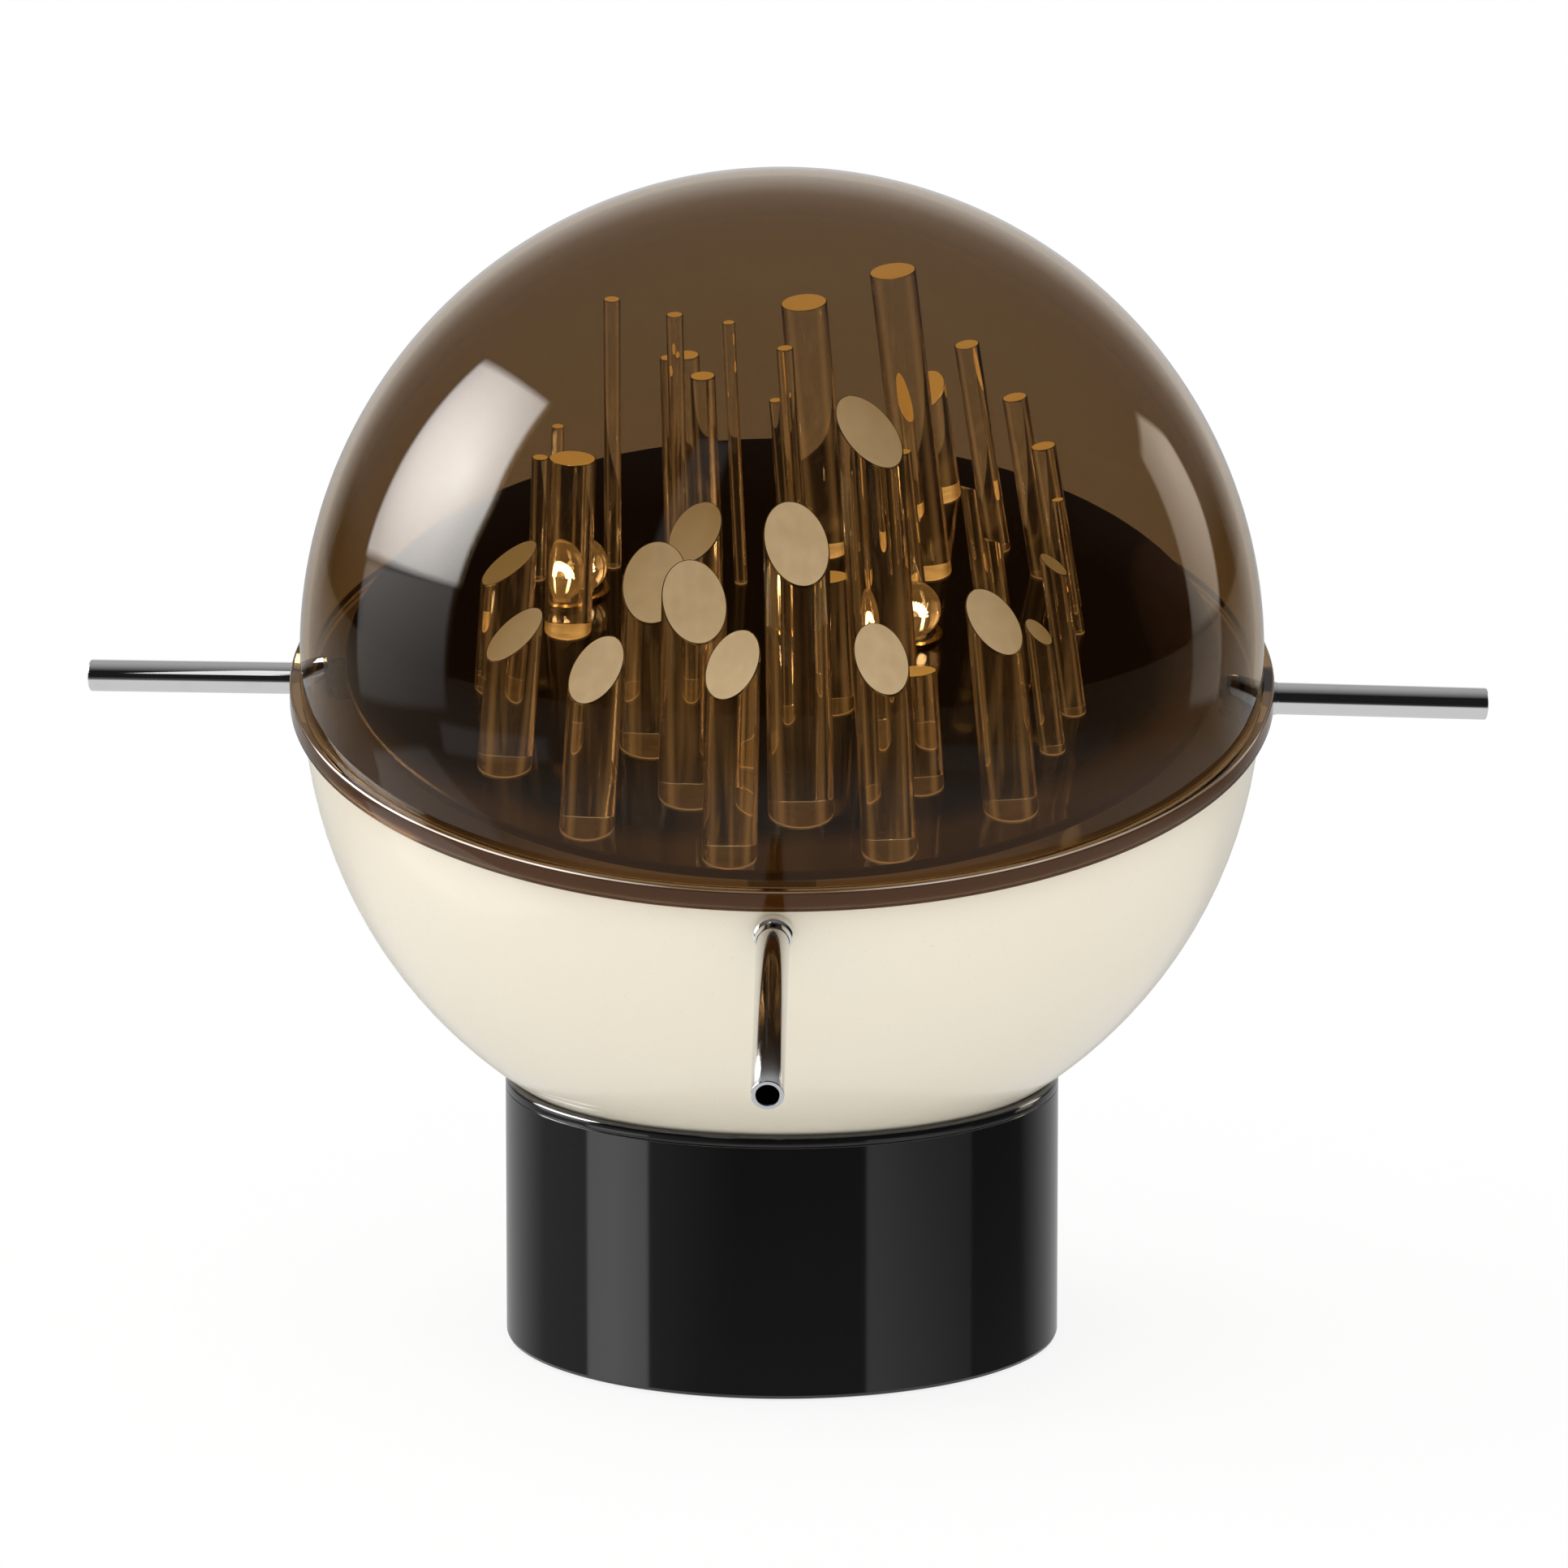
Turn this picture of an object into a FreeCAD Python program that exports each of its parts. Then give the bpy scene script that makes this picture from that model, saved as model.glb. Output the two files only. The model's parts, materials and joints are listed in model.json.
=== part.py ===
import FreeCAD, Part
import math
import os
import Sketcher
from FreeCAD import Vector

# Sculptural table lamp: a ball in two halves that lies loose in a ring on a black cylinder.
# The lower half is an ivory bowl and the upper half a smoke-brown dome. Inside stands a dark
# round plate with a field of clear rods, most of them cut off at a slant.
# Millimetres. The origin is the centre of the resting face, Z points up, the viewer is at -Y.

doc = FreeCAD.newDocument("TableLamp")
sheet = doc.addObject("Spreadsheet::Sheet", "Sizes")
sheet_row = 0


class Size:
    """A length or an angle in degrees, with its number and the sheet expression behind it."""

    def __init__(self, number, text):
        self.number = float(number)
        self.text = text

    def __add__(self, other):
        other = as_size(other)
        return Size(self.number + other.number, "(%s + %s)" % (self.text, other.text))

    def __radd__(self, other):
        return as_size(other) + self

    def __sub__(self, other):
        other = as_size(other)
        return Size(self.number - other.number, "(%s - %s)" % (self.text, other.text))

    def __rsub__(self, other):
        return as_size(other) - self

    def __mul__(self, other):
        other = as_size(other)
        return Size(self.number * other.number, "(%s * %s)" % (self.text, other.text))

    def __rmul__(self, other):
        return as_size(other) * self

    def __truediv__(self, other):
        other = as_size(other)
        return Size(self.number / other.number, "(%s / %s)" % (self.text, other.text))

    def __neg__(self):
        return Size(-self.number, "(0 - %s)" % self.text)


def as_size(value):
    if isinstance(value, Size):
        return value
    if value < 0:
        return Size(value, "(0 - %s)" % repr(abs(value)))
    return Size(value, repr(value))


def root(value):
    return Size(math.sqrt(value.number), "sqrt(%s)" % value.text)


def sine(value):
    value = as_size(value)
    return Size(math.sin(math.radians(value.number)), "sin(%s)" % value.text)


def cosine(value):
    value = as_size(value)
    return Size(math.cos(math.radians(value.number)), "cos(%s)" % value.text)


def tangent(value):
    value = as_size(value)
    return Size(math.tan(math.radians(value.number)), "tan(%s)" % value.text)


def bearing_of(across, along):
    """The angle in degrees whose tangent is across over along."""
    number = math.degrees(math.atan2(across.number, along.number))
    return Size(number, "atan2(%s; %s)" % (across.text, along.text))


def cap_height(radius, reach):
    """The height over the centre at which a sphere of that radius has the radius `reach`."""
    radius = as_size(radius)
    reach = as_size(reach)
    return root(radius * radius - reach * reach)


def size(name, value):
    """Write one driving dimension into the sheet and return it."""
    global sheet_row
    sheet_row += 1
    sheet.set("A%d" % sheet_row, name)
    sheet.set("B%d" % sheet_row, repr(value))
    sheet.setAlias("B%d" % sheet_row, name)
    return Size(value, "Sizes." + name)


# Sizes of the ball

ball_radius = size("ball_radius", 225.0)
dome_wall = size("dome_wall", 4.0)
dome_rise = size("dome_rise", 18.6)
bowl_inset = size("bowl_inset", 1.0)
bowl_wall = size("bowl_wall", 4.0)
bowl_rim_rise = size("bowl_rim_rise", 3.4)
lip_width = size("lip_width", 5.0)
lip_drop = size("lip_drop", 8.0)
lip_web = size("lip_web", 2.2)
lip_round = size("lip_round", 1.4)
lip_gap = size("lip_gap", 0.6)
ball_tilt = size("ball_tilt", 13.5)

bowl_radius = ball_radius - bowl_inset
bowl_inside = bowl_radius - bowl_wall
dome_inside = ball_radius - dome_wall

# Sizes of the base and the seat ring

base_radius = size("base_radius", 130.0)
base_wall = size("base_wall", 4.0)
base_height = size("base_height", 121.0)
base_lift = size("base_lift", 0.8)
base_round = size("base_round", 2.0)
lug_inset = size("lug_inset", 10.5)
lug_radius = size("lug_radius", 7.0)
lug_height = size("lug_height", 15.0)
floor_level = size("floor_level", 3.0)
floor_thickness = size("floor_thickness", 4.0)
floor_gap = size("floor_gap", 0.5)
floor_screw_radius = size("floor_screw_radius", 2.0)
floor_screw_length = size("floor_screw_length", 14.0)
screw_head_radius = size("screw_head_radius", 3.6)
screw_head_height = size("screw_head_height", 2.1)
screw_clearance = size("screw_clearance", 0.25)
thread_clearance = size("thread_clearance", 0.05)
felt_inset = size("felt_inset", 18.0)
cord_bore = size("cord_bore", 3.5)
cord_level = size("cord_level", 22.0)
grommet_neck = size("grommet_neck", 6.0)
grommet_flange = size("grommet_flange", 8.5)
grommet_lip = size("grommet_lip", 1.6)
grommet_fit = size("grommet_fit", 0.1)
ring_height = size("ring_height", 4.8)
ring_gap = size("ring_gap", 0.2)
ring_width = size("ring_width", 18.0)
ring_shoulder = size("ring_shoulder", 4.0)
ring_round = size("ring_round", 1.8)
spigot_depth = size("spigot_depth", 13.0)
spigot_clearance = size("spigot_clearance", 0.4)
seat_clearance = size("seat_clearance", 0.3)

base_inside = base_radius - base_wall
lug_circle = base_radius - lug_inset
felt_radius = base_radius - felt_inset
ring_inner = base_radius - ring_width
ring_edge = base_radius - ring_shoulder
seat_radius = bowl_radius + seat_clearance
ring_top = base_height + ring_gap + ring_height
pivot_level = ring_top + cap_height(seat_radius, ring_edge)

# Sizes of the tubes that serve as handles

tube_radius = size("tube_radius", 7.5)
tube_bore = size("tube_bore", 5.3)
tube_solid = size("tube_solid", 14.0)
tube_edge = size("tube_edge", 0.7)
shank_radius = size("shank_radius", 5.0)
shank_hole_clearance = size("shank_hole_clearance", 0.3)
collar_radius = size("collar_radius", 9.3)
collar_web = size("collar_web", 2.0)
collar_height = size("collar_height", 7.0)
collar_clearance = size("collar_clearance", 0.1)
washer_radius = size("washer_radius", 9.0)
washer_thickness = size("washer_thickness", 3.0)
nut_corner = size("nut_corner", 9.8)
nut_height = size("nut_height", 8.0)
tube_drop = size("tube_drop", 4.4)
tube_front_reach = size("tube_front_reach", 142.0)
tube_side_reach = size("tube_side_reach", 110.0)
tube_front_bearing = size("tube_front_bearing", -1.0)
tube_left_bearing = size("tube_left_bearing", -101.3)
tube_right_bearing = size("tube_right_bearing", 95.8)

# Sizes of the plate and the stem that carries it

plate_gap = size("plate_gap", 17.0)
plate_thickness = size("plate_thickness", 5.0)
plate_level = size("plate_level", 20.5)
plate_lean = size("plate_lean", 4.5)
plate_edge = size("plate_edge", 0.8)
stem_radius = size("stem_radius", 16.0)
stem_bore = size("stem_bore", 12.0)
stem_flange = size("stem_flange", 41.0)
stem_flange_height = size("stem_flange_height", 4.0)
stem_foot = size("stem_foot", 30.0)
stem_foot_height = size("stem_foot_height", 6.0)
stem_thread = size("stem_thread", 10.0)
stem_thread_depth = size("stem_thread_depth", 24.0)
stem_window = size("stem_window", 5.0)
bolt_head = size("bolt_head", 15.0)
bolt_head_height = size("bolt_head_height", 4.0)
bolt_bore = size("bolt_bore", 6.0)
bolt_reach = size("bolt_reach", 16.0)
plate_screw_circle = size("plate_screw_circle", 33.0)
plate_screw_radius = size("plate_screw_radius", 2.0)
plate_screw_grip = size("plate_screw_grip", 3.5)

plate_radius = dome_inside - plate_gap

# Sizes of the lamp holders, bulbs, block and leads

holder_radius = size("holder_radius", 14.0)
holder_flange = size("holder_flange", 16.0)
holder_flange_height = size("holder_flange_height", 3.0)
holder_depth = size("holder_depth", 33.0)
sleeve_radius = size("sleeve_radius", 11.0)
sleeve_bore = size("sleeve_bore", 8.5)
sleeve_clearance = size("sleeve_clearance", 0.2)
ring_nut_radius = size("ring_nut_radius", 14.0)
ring_nut_height = size("ring_nut_height", 2.2)
socket_floor = size("socket_floor", 5.5)
bulb_radius = size("bulb_radius", 13.3)
bulb_rise = size("bulb_rise", 14.0)
bulb_wall = size("bulb_wall", 0.8)
bulb_neck = size("bulb_neck", 6.1)
cap_radius = size("cap_radius", 6.9)
cap_length = size("cap_length", 25.0)
cap_tip = size("cap_tip", 2.2)
filament_wire = size("filament_wire", 0.45)
filament_span = size("filament_span", 3.2)
bulb_left_across = plate_radius * size("bulb_left_across_share", -46.6) / 100
bulb_left_back = plate_radius * size("bulb_left_back_share", 26.5) / 100
bulb_right_across = plate_radius * size("bulb_right_across_share", 29.9) / 100
bulb_right_back = plate_radius * size("bulb_right_back_share", 5.4) / 100
block_length = size("block_length", 44.0)
block_width = size("block_width", 18.0)
block_height = size("block_height", 13.0)
block_back = plate_radius * size("block_back_share", -41.2) / 100
block_screw_spacing = size("block_screw_spacing", 24.0)
block_screw_radius = size("block_screw_radius", 1.5)
lead_radius = size("lead_radius", 1.5)
lead_drop = size("lead_drop", 8.0)
lead_entry = size("lead_entry", 2.0)
lead_clearance = size("lead_clearance", 0.1)
lead_spread = size("lead_spread", 7.0)

# Sizes shared by the rods. Every rod leans towards one point high above the plate; the point
# wanders sideways with the rod's own place. A slant face makes the cut angle with the plate.

broad_rod_radius = size("broad_rod_radius", 15.0)
cut_rod_radius = size("cut_rod_radius", 12.5)
mid_rod_radius = size("mid_rod_radius", 11.0)
slim_rod_radius = size("slim_rod_radius", 6.0)
thin_rod_radius = size("thin_rod_radius", 4.0)
fine_rod_radius = size("fine_rod_radius", 3.0)
slant_angle = size("slant_angle", 33.5)
lean_height = size("lean_height", 1250.0)
lean_across = size("lean_across", -56.0)
lean_back = size("lean_back", 230.0)
lean_swirl = size("lean_swirl", 0.28)


# Frames: each one is an expression for the placement of a piece


class Frame:
    """A placement written as a sheet expression, so it follows the sizes."""

    def __init__(self, text):
        self.text = text

    def then(self, x=0, y=0, z=0, axis=(0, 0, 1), turn=0):
        """The frame moved by x, y, z in its own axes and then turned about `axis`."""
        x, y, z, turn = as_size(x), as_size(y), as_size(z), as_size(turn)
        step = "create(<<placement>>; create(<<vector>>; %s; %s; %s); " % (x.text, y.text, z.text)
        step += "create(<<rotation>>; create(<<vector>>; %d; %d; %d); %s))" % (axis + (turn.text,))
        return Frame(self.text + " * " + step if self.text else step)

    def put(self, item):
        """Give the frame to a document object."""
        item.setExpression("Placement", self.text)


world = Frame("").then()
ball = Frame("").then(0, 0, pivot_level, (1, 0, 0), ball_tilt)
deck = ball.then(0, 0, 0, (1, 0, 0), plate_lean)
deck_top = deck.then(0, 0, plate_level)


# Makers of the common kinds of solid


def plane_of(body, role):
    for plane in body.Origin.OriginFeatures:
        if plane.Role == role:
            return plane
    raise RuntimeError("no plane " + role)


def new_sketch(body, role, name):
    sketch = body.newObject("Sketcher::SketchObject", name)
    sketch.AttachmentSupport = [(plane_of(body, role), "")]
    sketch.MapMode = "FlatFace"
    return sketch


def fix(sketch, kind, where, value):
    """Add one constraint that follows a size."""
    value = as_size(value)
    index = sketch.addConstraint(Sketcher.Constraint(kind, *(where + (value.number,))))
    sketch.setExpression("Constraints[%d]" % index, value.text)


def fix_point(sketch, edge, end, across, up):
    """Hold one end of an edge at the coordinates across, up."""
    if as_size(across).text in ("0", "0.0"):
        sketch.addConstraint(Sketcher.Constraint("PointOnObject", edge, end, -2))
    else:
        fix(sketch, "DistanceX", (-1, 1, edge, end), across)
    if as_size(up).text in ("0", "0.0"):
        sketch.addConstraint(Sketcher.Constraint("PointOnObject", edge, end, -1))
    else:
        fix(sketch, "DistanceY", (-1, 1, edge, end), up)


def outline(sketch, corners, arcs=()):
    """Draw a closed outline. The edges named in `arcs` are round about a point of the axis."""
    count = len(corners)
    points = [(as_size(a).number, as_size(b).number) for a, b in corners]
    ends = []
    for index in range(count):
        start = points[index]
        stop = points[(index + 1) % count]
        if index not in arcs:
            sketch.addGeometry(Part.LineSegment(Vector(start[0], start[1], 0), Vector(stop[0], stop[1], 0)))
            ends.append((1, 2))
            continue
        middle = (stop[0] ** 2 + stop[1] ** 2 - start[0] ** 2 - start[1] ** 2) / (2 * (stop[1] - start[1]))
        radius = math.hypot(start[0], start[1] - middle)
        first = math.atan2(start[1] - middle, start[0])
        last = math.atan2(stop[1] - middle, stop[0])
        forward = (last - first) % (2 * math.pi) < math.pi
        if not forward:
            first, last = last, first
        circle = Part.Circle(Vector(0, middle, 0), Vector(0, 0, 1), radius)
        sketch.addGeometry(Part.ArcOfCircle(circle, first, last))
        ends.append((1, 2) if forward else (2, 1))
    for index in range(count):
        follow = (index + 1) % count
        sketch.addConstraint(
            Sketcher.Constraint("Coincident", index, ends[index][1], follow, ends[follow][0])
        )
    for index in range(count):
        fix_point(sketch, index, ends[index][0], corners[index][0], corners[index][1])
    for index in arcs:
        sketch.addConstraint(Sketcher.Constraint("PointOnObject", index, 3, -2))


def new_body(name, frame):
    body = doc.addObject("PartDesign::Body", name)
    body.Label = name
    frame.put(body)
    return body


def turned(name, frame, corners, arcs=()):
    """A turned solid from half its section, drawn as radius and height."""
    body = new_body(name, frame)
    sketch = new_sketch(body, "XZ_Plane", name + "_section")
    outline(sketch, corners, arcs)
    turn = body.newObject("PartDesign::Revolution", name + "_turn")
    turn.Profile = sketch
    turn.ReferenceAxis = (sketch, ["V_Axis"])
    turn.Angle = 360
    body.Tip = turn
    return body


def cylinder(name, frame, radius, height):
    item = doc.addObject("Part::Cylinder", name)
    item.setExpression("Radius", as_size(radius).text)
    item.setExpression("Height", as_size(height).text)
    frame.put(item)
    return item


def sphere(name, frame, radius):
    item = doc.addObject("Part::Sphere", name)
    item.setExpression("Radius", as_size(radius).text)
    frame.put(item)
    return item


def block(name, frame, length, width, height):
    item = doc.addObject("Part::Box", name)
    item.setExpression("Length", as_size(length).text)
    item.setExpression("Width", as_size(width).text)
    item.setExpression("Height", as_size(height).text)
    frame.put(item)
    return item


def joined(name, parts):
    item = doc.addObject("Part::MultiFuse", name)
    item.Shapes = parts
    item.Label = name
    return item


def without(name, base, tools):
    """The base less all the tools, and a record that every tool must bite."""
    tool = tools[0] if len(tools) == 1 else joined(name + "_tools", tools)
    item = doc.addObject("Part::Cut", name)
    item.Base = base
    item.Tool = tool
    item.Label = name
    bites.append((name, base, item))
    return item


def grouped(name, parts):
    item = doc.addObject("Part::Compound", name)
    item.Links = parts
    item.Label = name
    return item


bites = []
nodes = []


# The base: a shell open at the top, with four lugs inside for the floor screws

base_turn = turned(
    "base_wall_turn",
    world,
    [
        (base_inside, base_lift),
        (base_radius - base_round, base_lift),
        (base_radius - base_round * 0.3, base_lift + base_round * 0.3),
        (base_radius, base_lift + base_round),
        (base_radius, base_height - 0.5),
        (base_radius - 0.5, base_height),
        (base_inside, base_height),
    ],
)
lug_level = floor_level + floor_thickness
lugs = []
lug_holes = []
for quarter in range(4):
    spot = world.then(0, 0, 0, (0, 0, 1), 45 + 90 * quarter).then(lug_circle, 0, lug_level)
    lugs.append(cylinder("lug_%d" % quarter, spot, lug_radius, lug_height))
    lug_holes.append(
        cylinder("lug_hole_%d" % quarter, spot, floor_screw_radius + thread_clearance, lug_height - 3)
    )
trim = cylinder("lug_trim", world, base_radius - 1, base_height)
lug_fill = doc.addObject("Part::MultiCommon", "lug_fill")
lug_fill.Shapes = [joined("lug_set", lugs), trim]
cord_door = world.then(0, base_radius + 10, cord_level, (1, 0, 0), 90)
base_shell = without(
    "base_shell",
    joined("base_solid", [base_turn, lug_fill]),
    lug_holes + [cylinder("cord_door", cord_door, grommet_neck + grommet_fit, base_wall + 20)],
)
nodes.append(base_shell)

# The floor plate: a steel disc drawn once and drilled four times

floor_plate = new_body("floor_plate", world.then(0, 0, floor_level))
disc_sketch = new_sketch(floor_plate, "XY_Plane", "floor_disc")
disc_radius = base_inside - floor_gap
disc_sketch.addGeometry(Part.Circle(Vector(0, 0, 0), Vector(0, 0, 1), disc_radius.number))
disc_sketch.addConstraint(Sketcher.Constraint("Coincident", 0, 3, -1, 1))
fix(disc_sketch, "Radius", (0,), disc_radius)
disc_pad = floor_plate.newObject("PartDesign::Pad", "floor_pad")
disc_pad.Profile = disc_sketch
disc_pad.setExpression("Length", floor_thickness.text)
drill_sketch = new_sketch(floor_plate, "XY_Plane", "floor_drill")
drill_radius = floor_screw_radius + screw_clearance
drill_across = lug_circle * cosine(45)
drill_back = lug_circle * sine(45)
drill_spot = Vector(drill_across.number, drill_back.number, 0)
drill_sketch.addGeometry(Part.Circle(drill_spot, Vector(0, 0, 1), drill_radius.number))
fix(drill_sketch, "Radius", (0,), drill_radius)
fix_point(drill_sketch, 0, 3, drill_across, drill_back)
drill = floor_plate.newObject("PartDesign::Pocket", "floor_hole")
drill.Profile = drill_sketch
drill.Type = "ThroughAll"
drill.SideType = "Symmetric"
drill_round = floor_plate.newObject("PartDesign::PolarPattern", "floor_holes")
drill_round.Originals = [drill]
drill_round.Axis = (drill_sketch, ["N_Axis"])
drill_round.Angle = 360
drill_round.Occurrences = 4
floor_plate.Tip = drill_round
nodes.append(floor_plate)


def pan_screw(name, frame, radius, length, head_radius, head_height):
    """A screw whose head lies under the frame and whose shank rises from it."""
    return turned(
        name,
        frame,
        [
            (0, -head_height),
            (head_radius * 0.72, -head_height),
            (head_radius, head_height * -0.45),
            (head_radius, 0),
            (radius, 0),
            (radius, length - 0.6),
            (radius - 0.6, length),
            (0, length),
        ],
    )


floor_screws = []
for quarter in range(4):
    spot = world.then(0, 0, 0, (0, 0, 1), 45 + 90 * quarter).then(lug_circle, 0, floor_level)
    floor_screws.append(
        pan_screw(
            "floor_screw_%d" % quarter,
            spot,
            floor_screw_radius,
            floor_screw_length,
            screw_head_radius,
            screw_head_height,
        )
    )
nodes.append(grouped("floor_screws", floor_screws))

# The felt pad on which the lamp stands

nodes.append(cylinder("felt_pad", world, felt_radius, floor_level))

# The rubber grommet of the cord's hole: a bush with a flange on each side of the wall

grommet_inner = base_inside - grommet_lip
grommet_outer = base_radius + grommet_lip
nodes.append(
    turned(
        "cable_grommet",
        world.then(0, 0, cord_level, (1, 0, 0), -90),
        [
            (cord_bore, grommet_inner),
            (grommet_flange - 0.6, grommet_inner),
            (grommet_flange - 0.3, base_inside - 0.35),
            (grommet_neck, base_inside - 0.35),
            (grommet_neck, base_radius + 0.05),
            (grommet_flange, base_radius + 0.05),
            (grommet_flange, grommet_outer - 0.5),
            (grommet_flange - 0.8, grommet_outer),
            (cord_bore, grommet_outer),
        ],
    )
)

# The seat ring: a thin visible rim, a hollow seat for the ball and a spigot into the base

ring_foot = base_height + ring_gap
seat_low = pivot_level - cap_height(seat_radius, ring_inner)
spigot_radius = base_inside - spigot_clearance
nodes.append(
    turned(
        "seat_ring",
        world,
        [
            (ring_inner, base_height - spigot_depth),
            (spigot_radius - 1, base_height - spigot_depth),
            (spigot_radius, base_height - spigot_depth + 1),
            (spigot_radius, ring_foot),
            (base_radius, ring_foot),
            (base_radius, ring_top - ring_round),
            (base_radius - ring_round * 0.3, ring_top - ring_round * 0.3),
            (base_radius - ring_round, ring_top),
            (ring_edge, ring_top),
            (ring_inner, seat_low),
        ],
        arcs=(8,),
    )
)

# The bowl: half a hollow ball with holes for three tubes and for the bolt of the stem

bowl_full = sphere("bowl_outer", ball, bowl_radius)
bowl_core = sphere("bowl_core", ball, bowl_inside)
bowl_open = cylinder("bowl_open", ball.then(0, 0, bowl_rim_rise), ball_radius + 20, ball_radius + 20)


def tube_frame(bearing):
    """The frame at the ball's centre whose Z runs out along a tube with that bearing."""
    return ball.then(0, 0, 0, (0, 0, 1), bearing).then(0, 0, 0, (1, 0, 0), 90 + tube_drop)


tube_bearings = {
    "front": (tube_front_bearing, tube_front_reach),
    "left": (tube_left_bearing, tube_side_reach),
    "right": (tube_right_bearing, tube_side_reach),
}
bowl_holes = []
for side in tube_bearings:
    spot = tube_frame(tube_bearings[side][0]).then(0, 0, bowl_inside - 15)
    bowl_holes.append(
        cylinder("bowl_hole_" + side, spot, shank_radius + shank_hole_clearance, bowl_wall + 30)
    )
foot_hole = deck.then(0, 0, -(bowl_radius + 15))
bowl_holes.append(cylinder("bowl_hole_foot", foot_hole, stem_thread + shank_hole_clearance, bowl_wall + 30))
bowl = without("bowl", bowl_full, [bowl_core, bowl_open] + bowl_holes)
nodes.append(bowl)

# The dome: half a hollow ball on a short straight skirt, with a flared lip over the bowl's rim

lip_outer = ball_radius + lip_width
lip_top = bowl_rim_rise + lip_web
lip_low = bowl_rim_rise - lip_drop
nodes.append(
    turned(
        "dome",
        ball,
        [
            (0, dome_rise + dome_inside),
            (0, dome_rise + ball_radius),
            (ball_radius, dome_rise),
            (ball_radius, lip_top + lip_round),
            (ball_radius + lip_round * 0.3, lip_top + lip_round * 0.3),
            (ball_radius + lip_round, lip_top),
            (lip_outer - lip_round, lip_top),
            (lip_outer - lip_round * 0.3, lip_top - lip_round * 0.3),
            (lip_outer, lip_top - lip_round),
            (lip_outer, lip_low + 0.6),
            (lip_outer - 0.6, lip_low),
            (bowl_radius + lip_gap, lip_low),
            (bowl_radius + lip_gap, bowl_rim_rise),
            (dome_inside, bowl_rim_rise),
            (dome_inside, dome_rise),
        ],
        arcs=(1, 14),
    )
)

# The tubes: a straight open tube with a solid root and a threaded shank through the bowl

root_seat = cap_height(bowl_radius, shank_radius + shank_hole_clearance)
washer_seat = cap_height(bowl_inside, washer_radius)
tube_start = root_seat + collar_web
nut_seat = washer_seat - washer_thickness
collars = []
washers = []
nuts = []
for side in tube_bearings:
    bearing, reach = tube_bearings[side]
    frame = tube_frame(bearing)
    tube_end = bowl_radius + reach
    nodes.append(
        turned(
            "tube_" + side,
            frame,
            [
                (0, nut_seat - nut_height - 2),
                (shank_radius - 0.8, nut_seat - nut_height - 2),
                (shank_radius, nut_seat - nut_height - 1.2),
                (shank_radius, tube_start),
                (tube_radius, tube_start),
                (tube_radius, tube_end - tube_edge),
                (tube_radius - tube_edge * 0.3, tube_end - tube_edge * 0.3),
                (tube_radius - tube_edge, tube_end),
                (tube_bore + 0.4, tube_end),
                (tube_bore, tube_end - 0.6),
                (tube_bore, tube_start + tube_solid + 2),
                (0, tube_start + tube_solid),
            ],
        )
    )
    well = tube_radius + collar_clearance
    collars.append(
        turned(
            "collar_" + side,
            frame,
            [
                (shank_radius + collar_clearance, root_seat),
                (collar_radius - 1.2, root_seat),
                (collar_radius, root_seat + 1.4),
                (collar_radius, root_seat + collar_height - 2.4),
                (collar_radius - 0.5, root_seat + collar_height - 0.9),
                (well + 0.4, root_seat + collar_height),
                (well, root_seat + collar_height - 0.3),
                (well, tube_start),
                (shank_radius + collar_clearance, tube_start),
            ],
        )
    )
    washer = cylinder("washer_%s_disc" % side, frame.then(0, 0, nut_seat), washer_radius, washer_thickness)
    bore = cylinder(
        "washer_%s_bore" % side, frame.then(0, 0, nut_seat - 1), shank_radius + collar_clearance, 10
    )
    washers.append(without("washer_" + side, washer, [bore]))
    hexagon = doc.addObject("Part::Prism", "nut_%s_hexagon" % side)
    hexagon.Polygon = 6
    hexagon.setExpression("Circumradius", nut_corner.text)
    hexagon.setExpression("Height", nut_height.text)
    frame.then(0, 0, nut_seat - nut_height).put(hexagon)
    tap = cylinder(
        "nut_%s_tap" % side, frame.then(0, 0, nut_seat - nut_height - 1), shank_radius + thread_clearance, 12
    )
    nuts.append(without("nut_" + side, hexagon, [tap]))
nodes.append(grouped("tube_collars", collars))
nodes.append(grouped("tube_washers", washers))
nodes.append(grouped("tube_nuts", nuts))

# The stem: a turned column from the bowl's bottom to the plate, and the hollow bolt below it

plate_under = plate_level - plate_thickness
stem_bottom = -cap_height(bowl_inside, stem_thread)
stem_turn = turned(
    "stem_turn",
    deck,
    [
        (stem_thread + thread_clearance, stem_bottom),
        (stem_foot, -cap_height(bowl_inside, stem_foot)),
        (stem_foot, stem_bottom + stem_foot_height),
        (stem_radius + 4, stem_bottom + stem_foot_height + 3),
        (stem_radius, stem_bottom + stem_foot_height + 10),
        (stem_radius, plate_under - stem_flange_height - 9),
        (stem_radius + 3, plate_under - stem_flange_height - 2.5),
        (stem_radius + 8, plate_under - stem_flange_height),
        (stem_flange, plate_under - stem_flange_height),
        (stem_flange, plate_under),
        (stem_bore, plate_under),
        (stem_bore, stem_bottom + stem_thread_depth + 2),
        (stem_thread + thread_clearance, stem_bottom + stem_thread_depth),
    ],
    arcs=(0,),
)
stem_cuts = [
    cylinder("stem_window_cut", deck.then(0, 0, -26, (1, 0, 0), 90), stem_window, stem_radius + 10),
]
plate_screw_spots = []
for quarter in range(4):
    spot = deck.then(0, 0, 0, (0, 0, 1), 45 + 90 * quarter)
    spot = spot.then(plate_screw_circle, 0, plate_under - stem_flange_height)
    plate_screw_spots.append(spot)
    stem_cuts.append(
        cylinder("stem_screw_hole_%d" % quarter, spot.then(0, 0, -8), plate_screw_radius + screw_clearance, 20)
    )
plate_stem = without("plate_stem", stem_turn, stem_cuts)
nodes.append(plate_stem)

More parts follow.
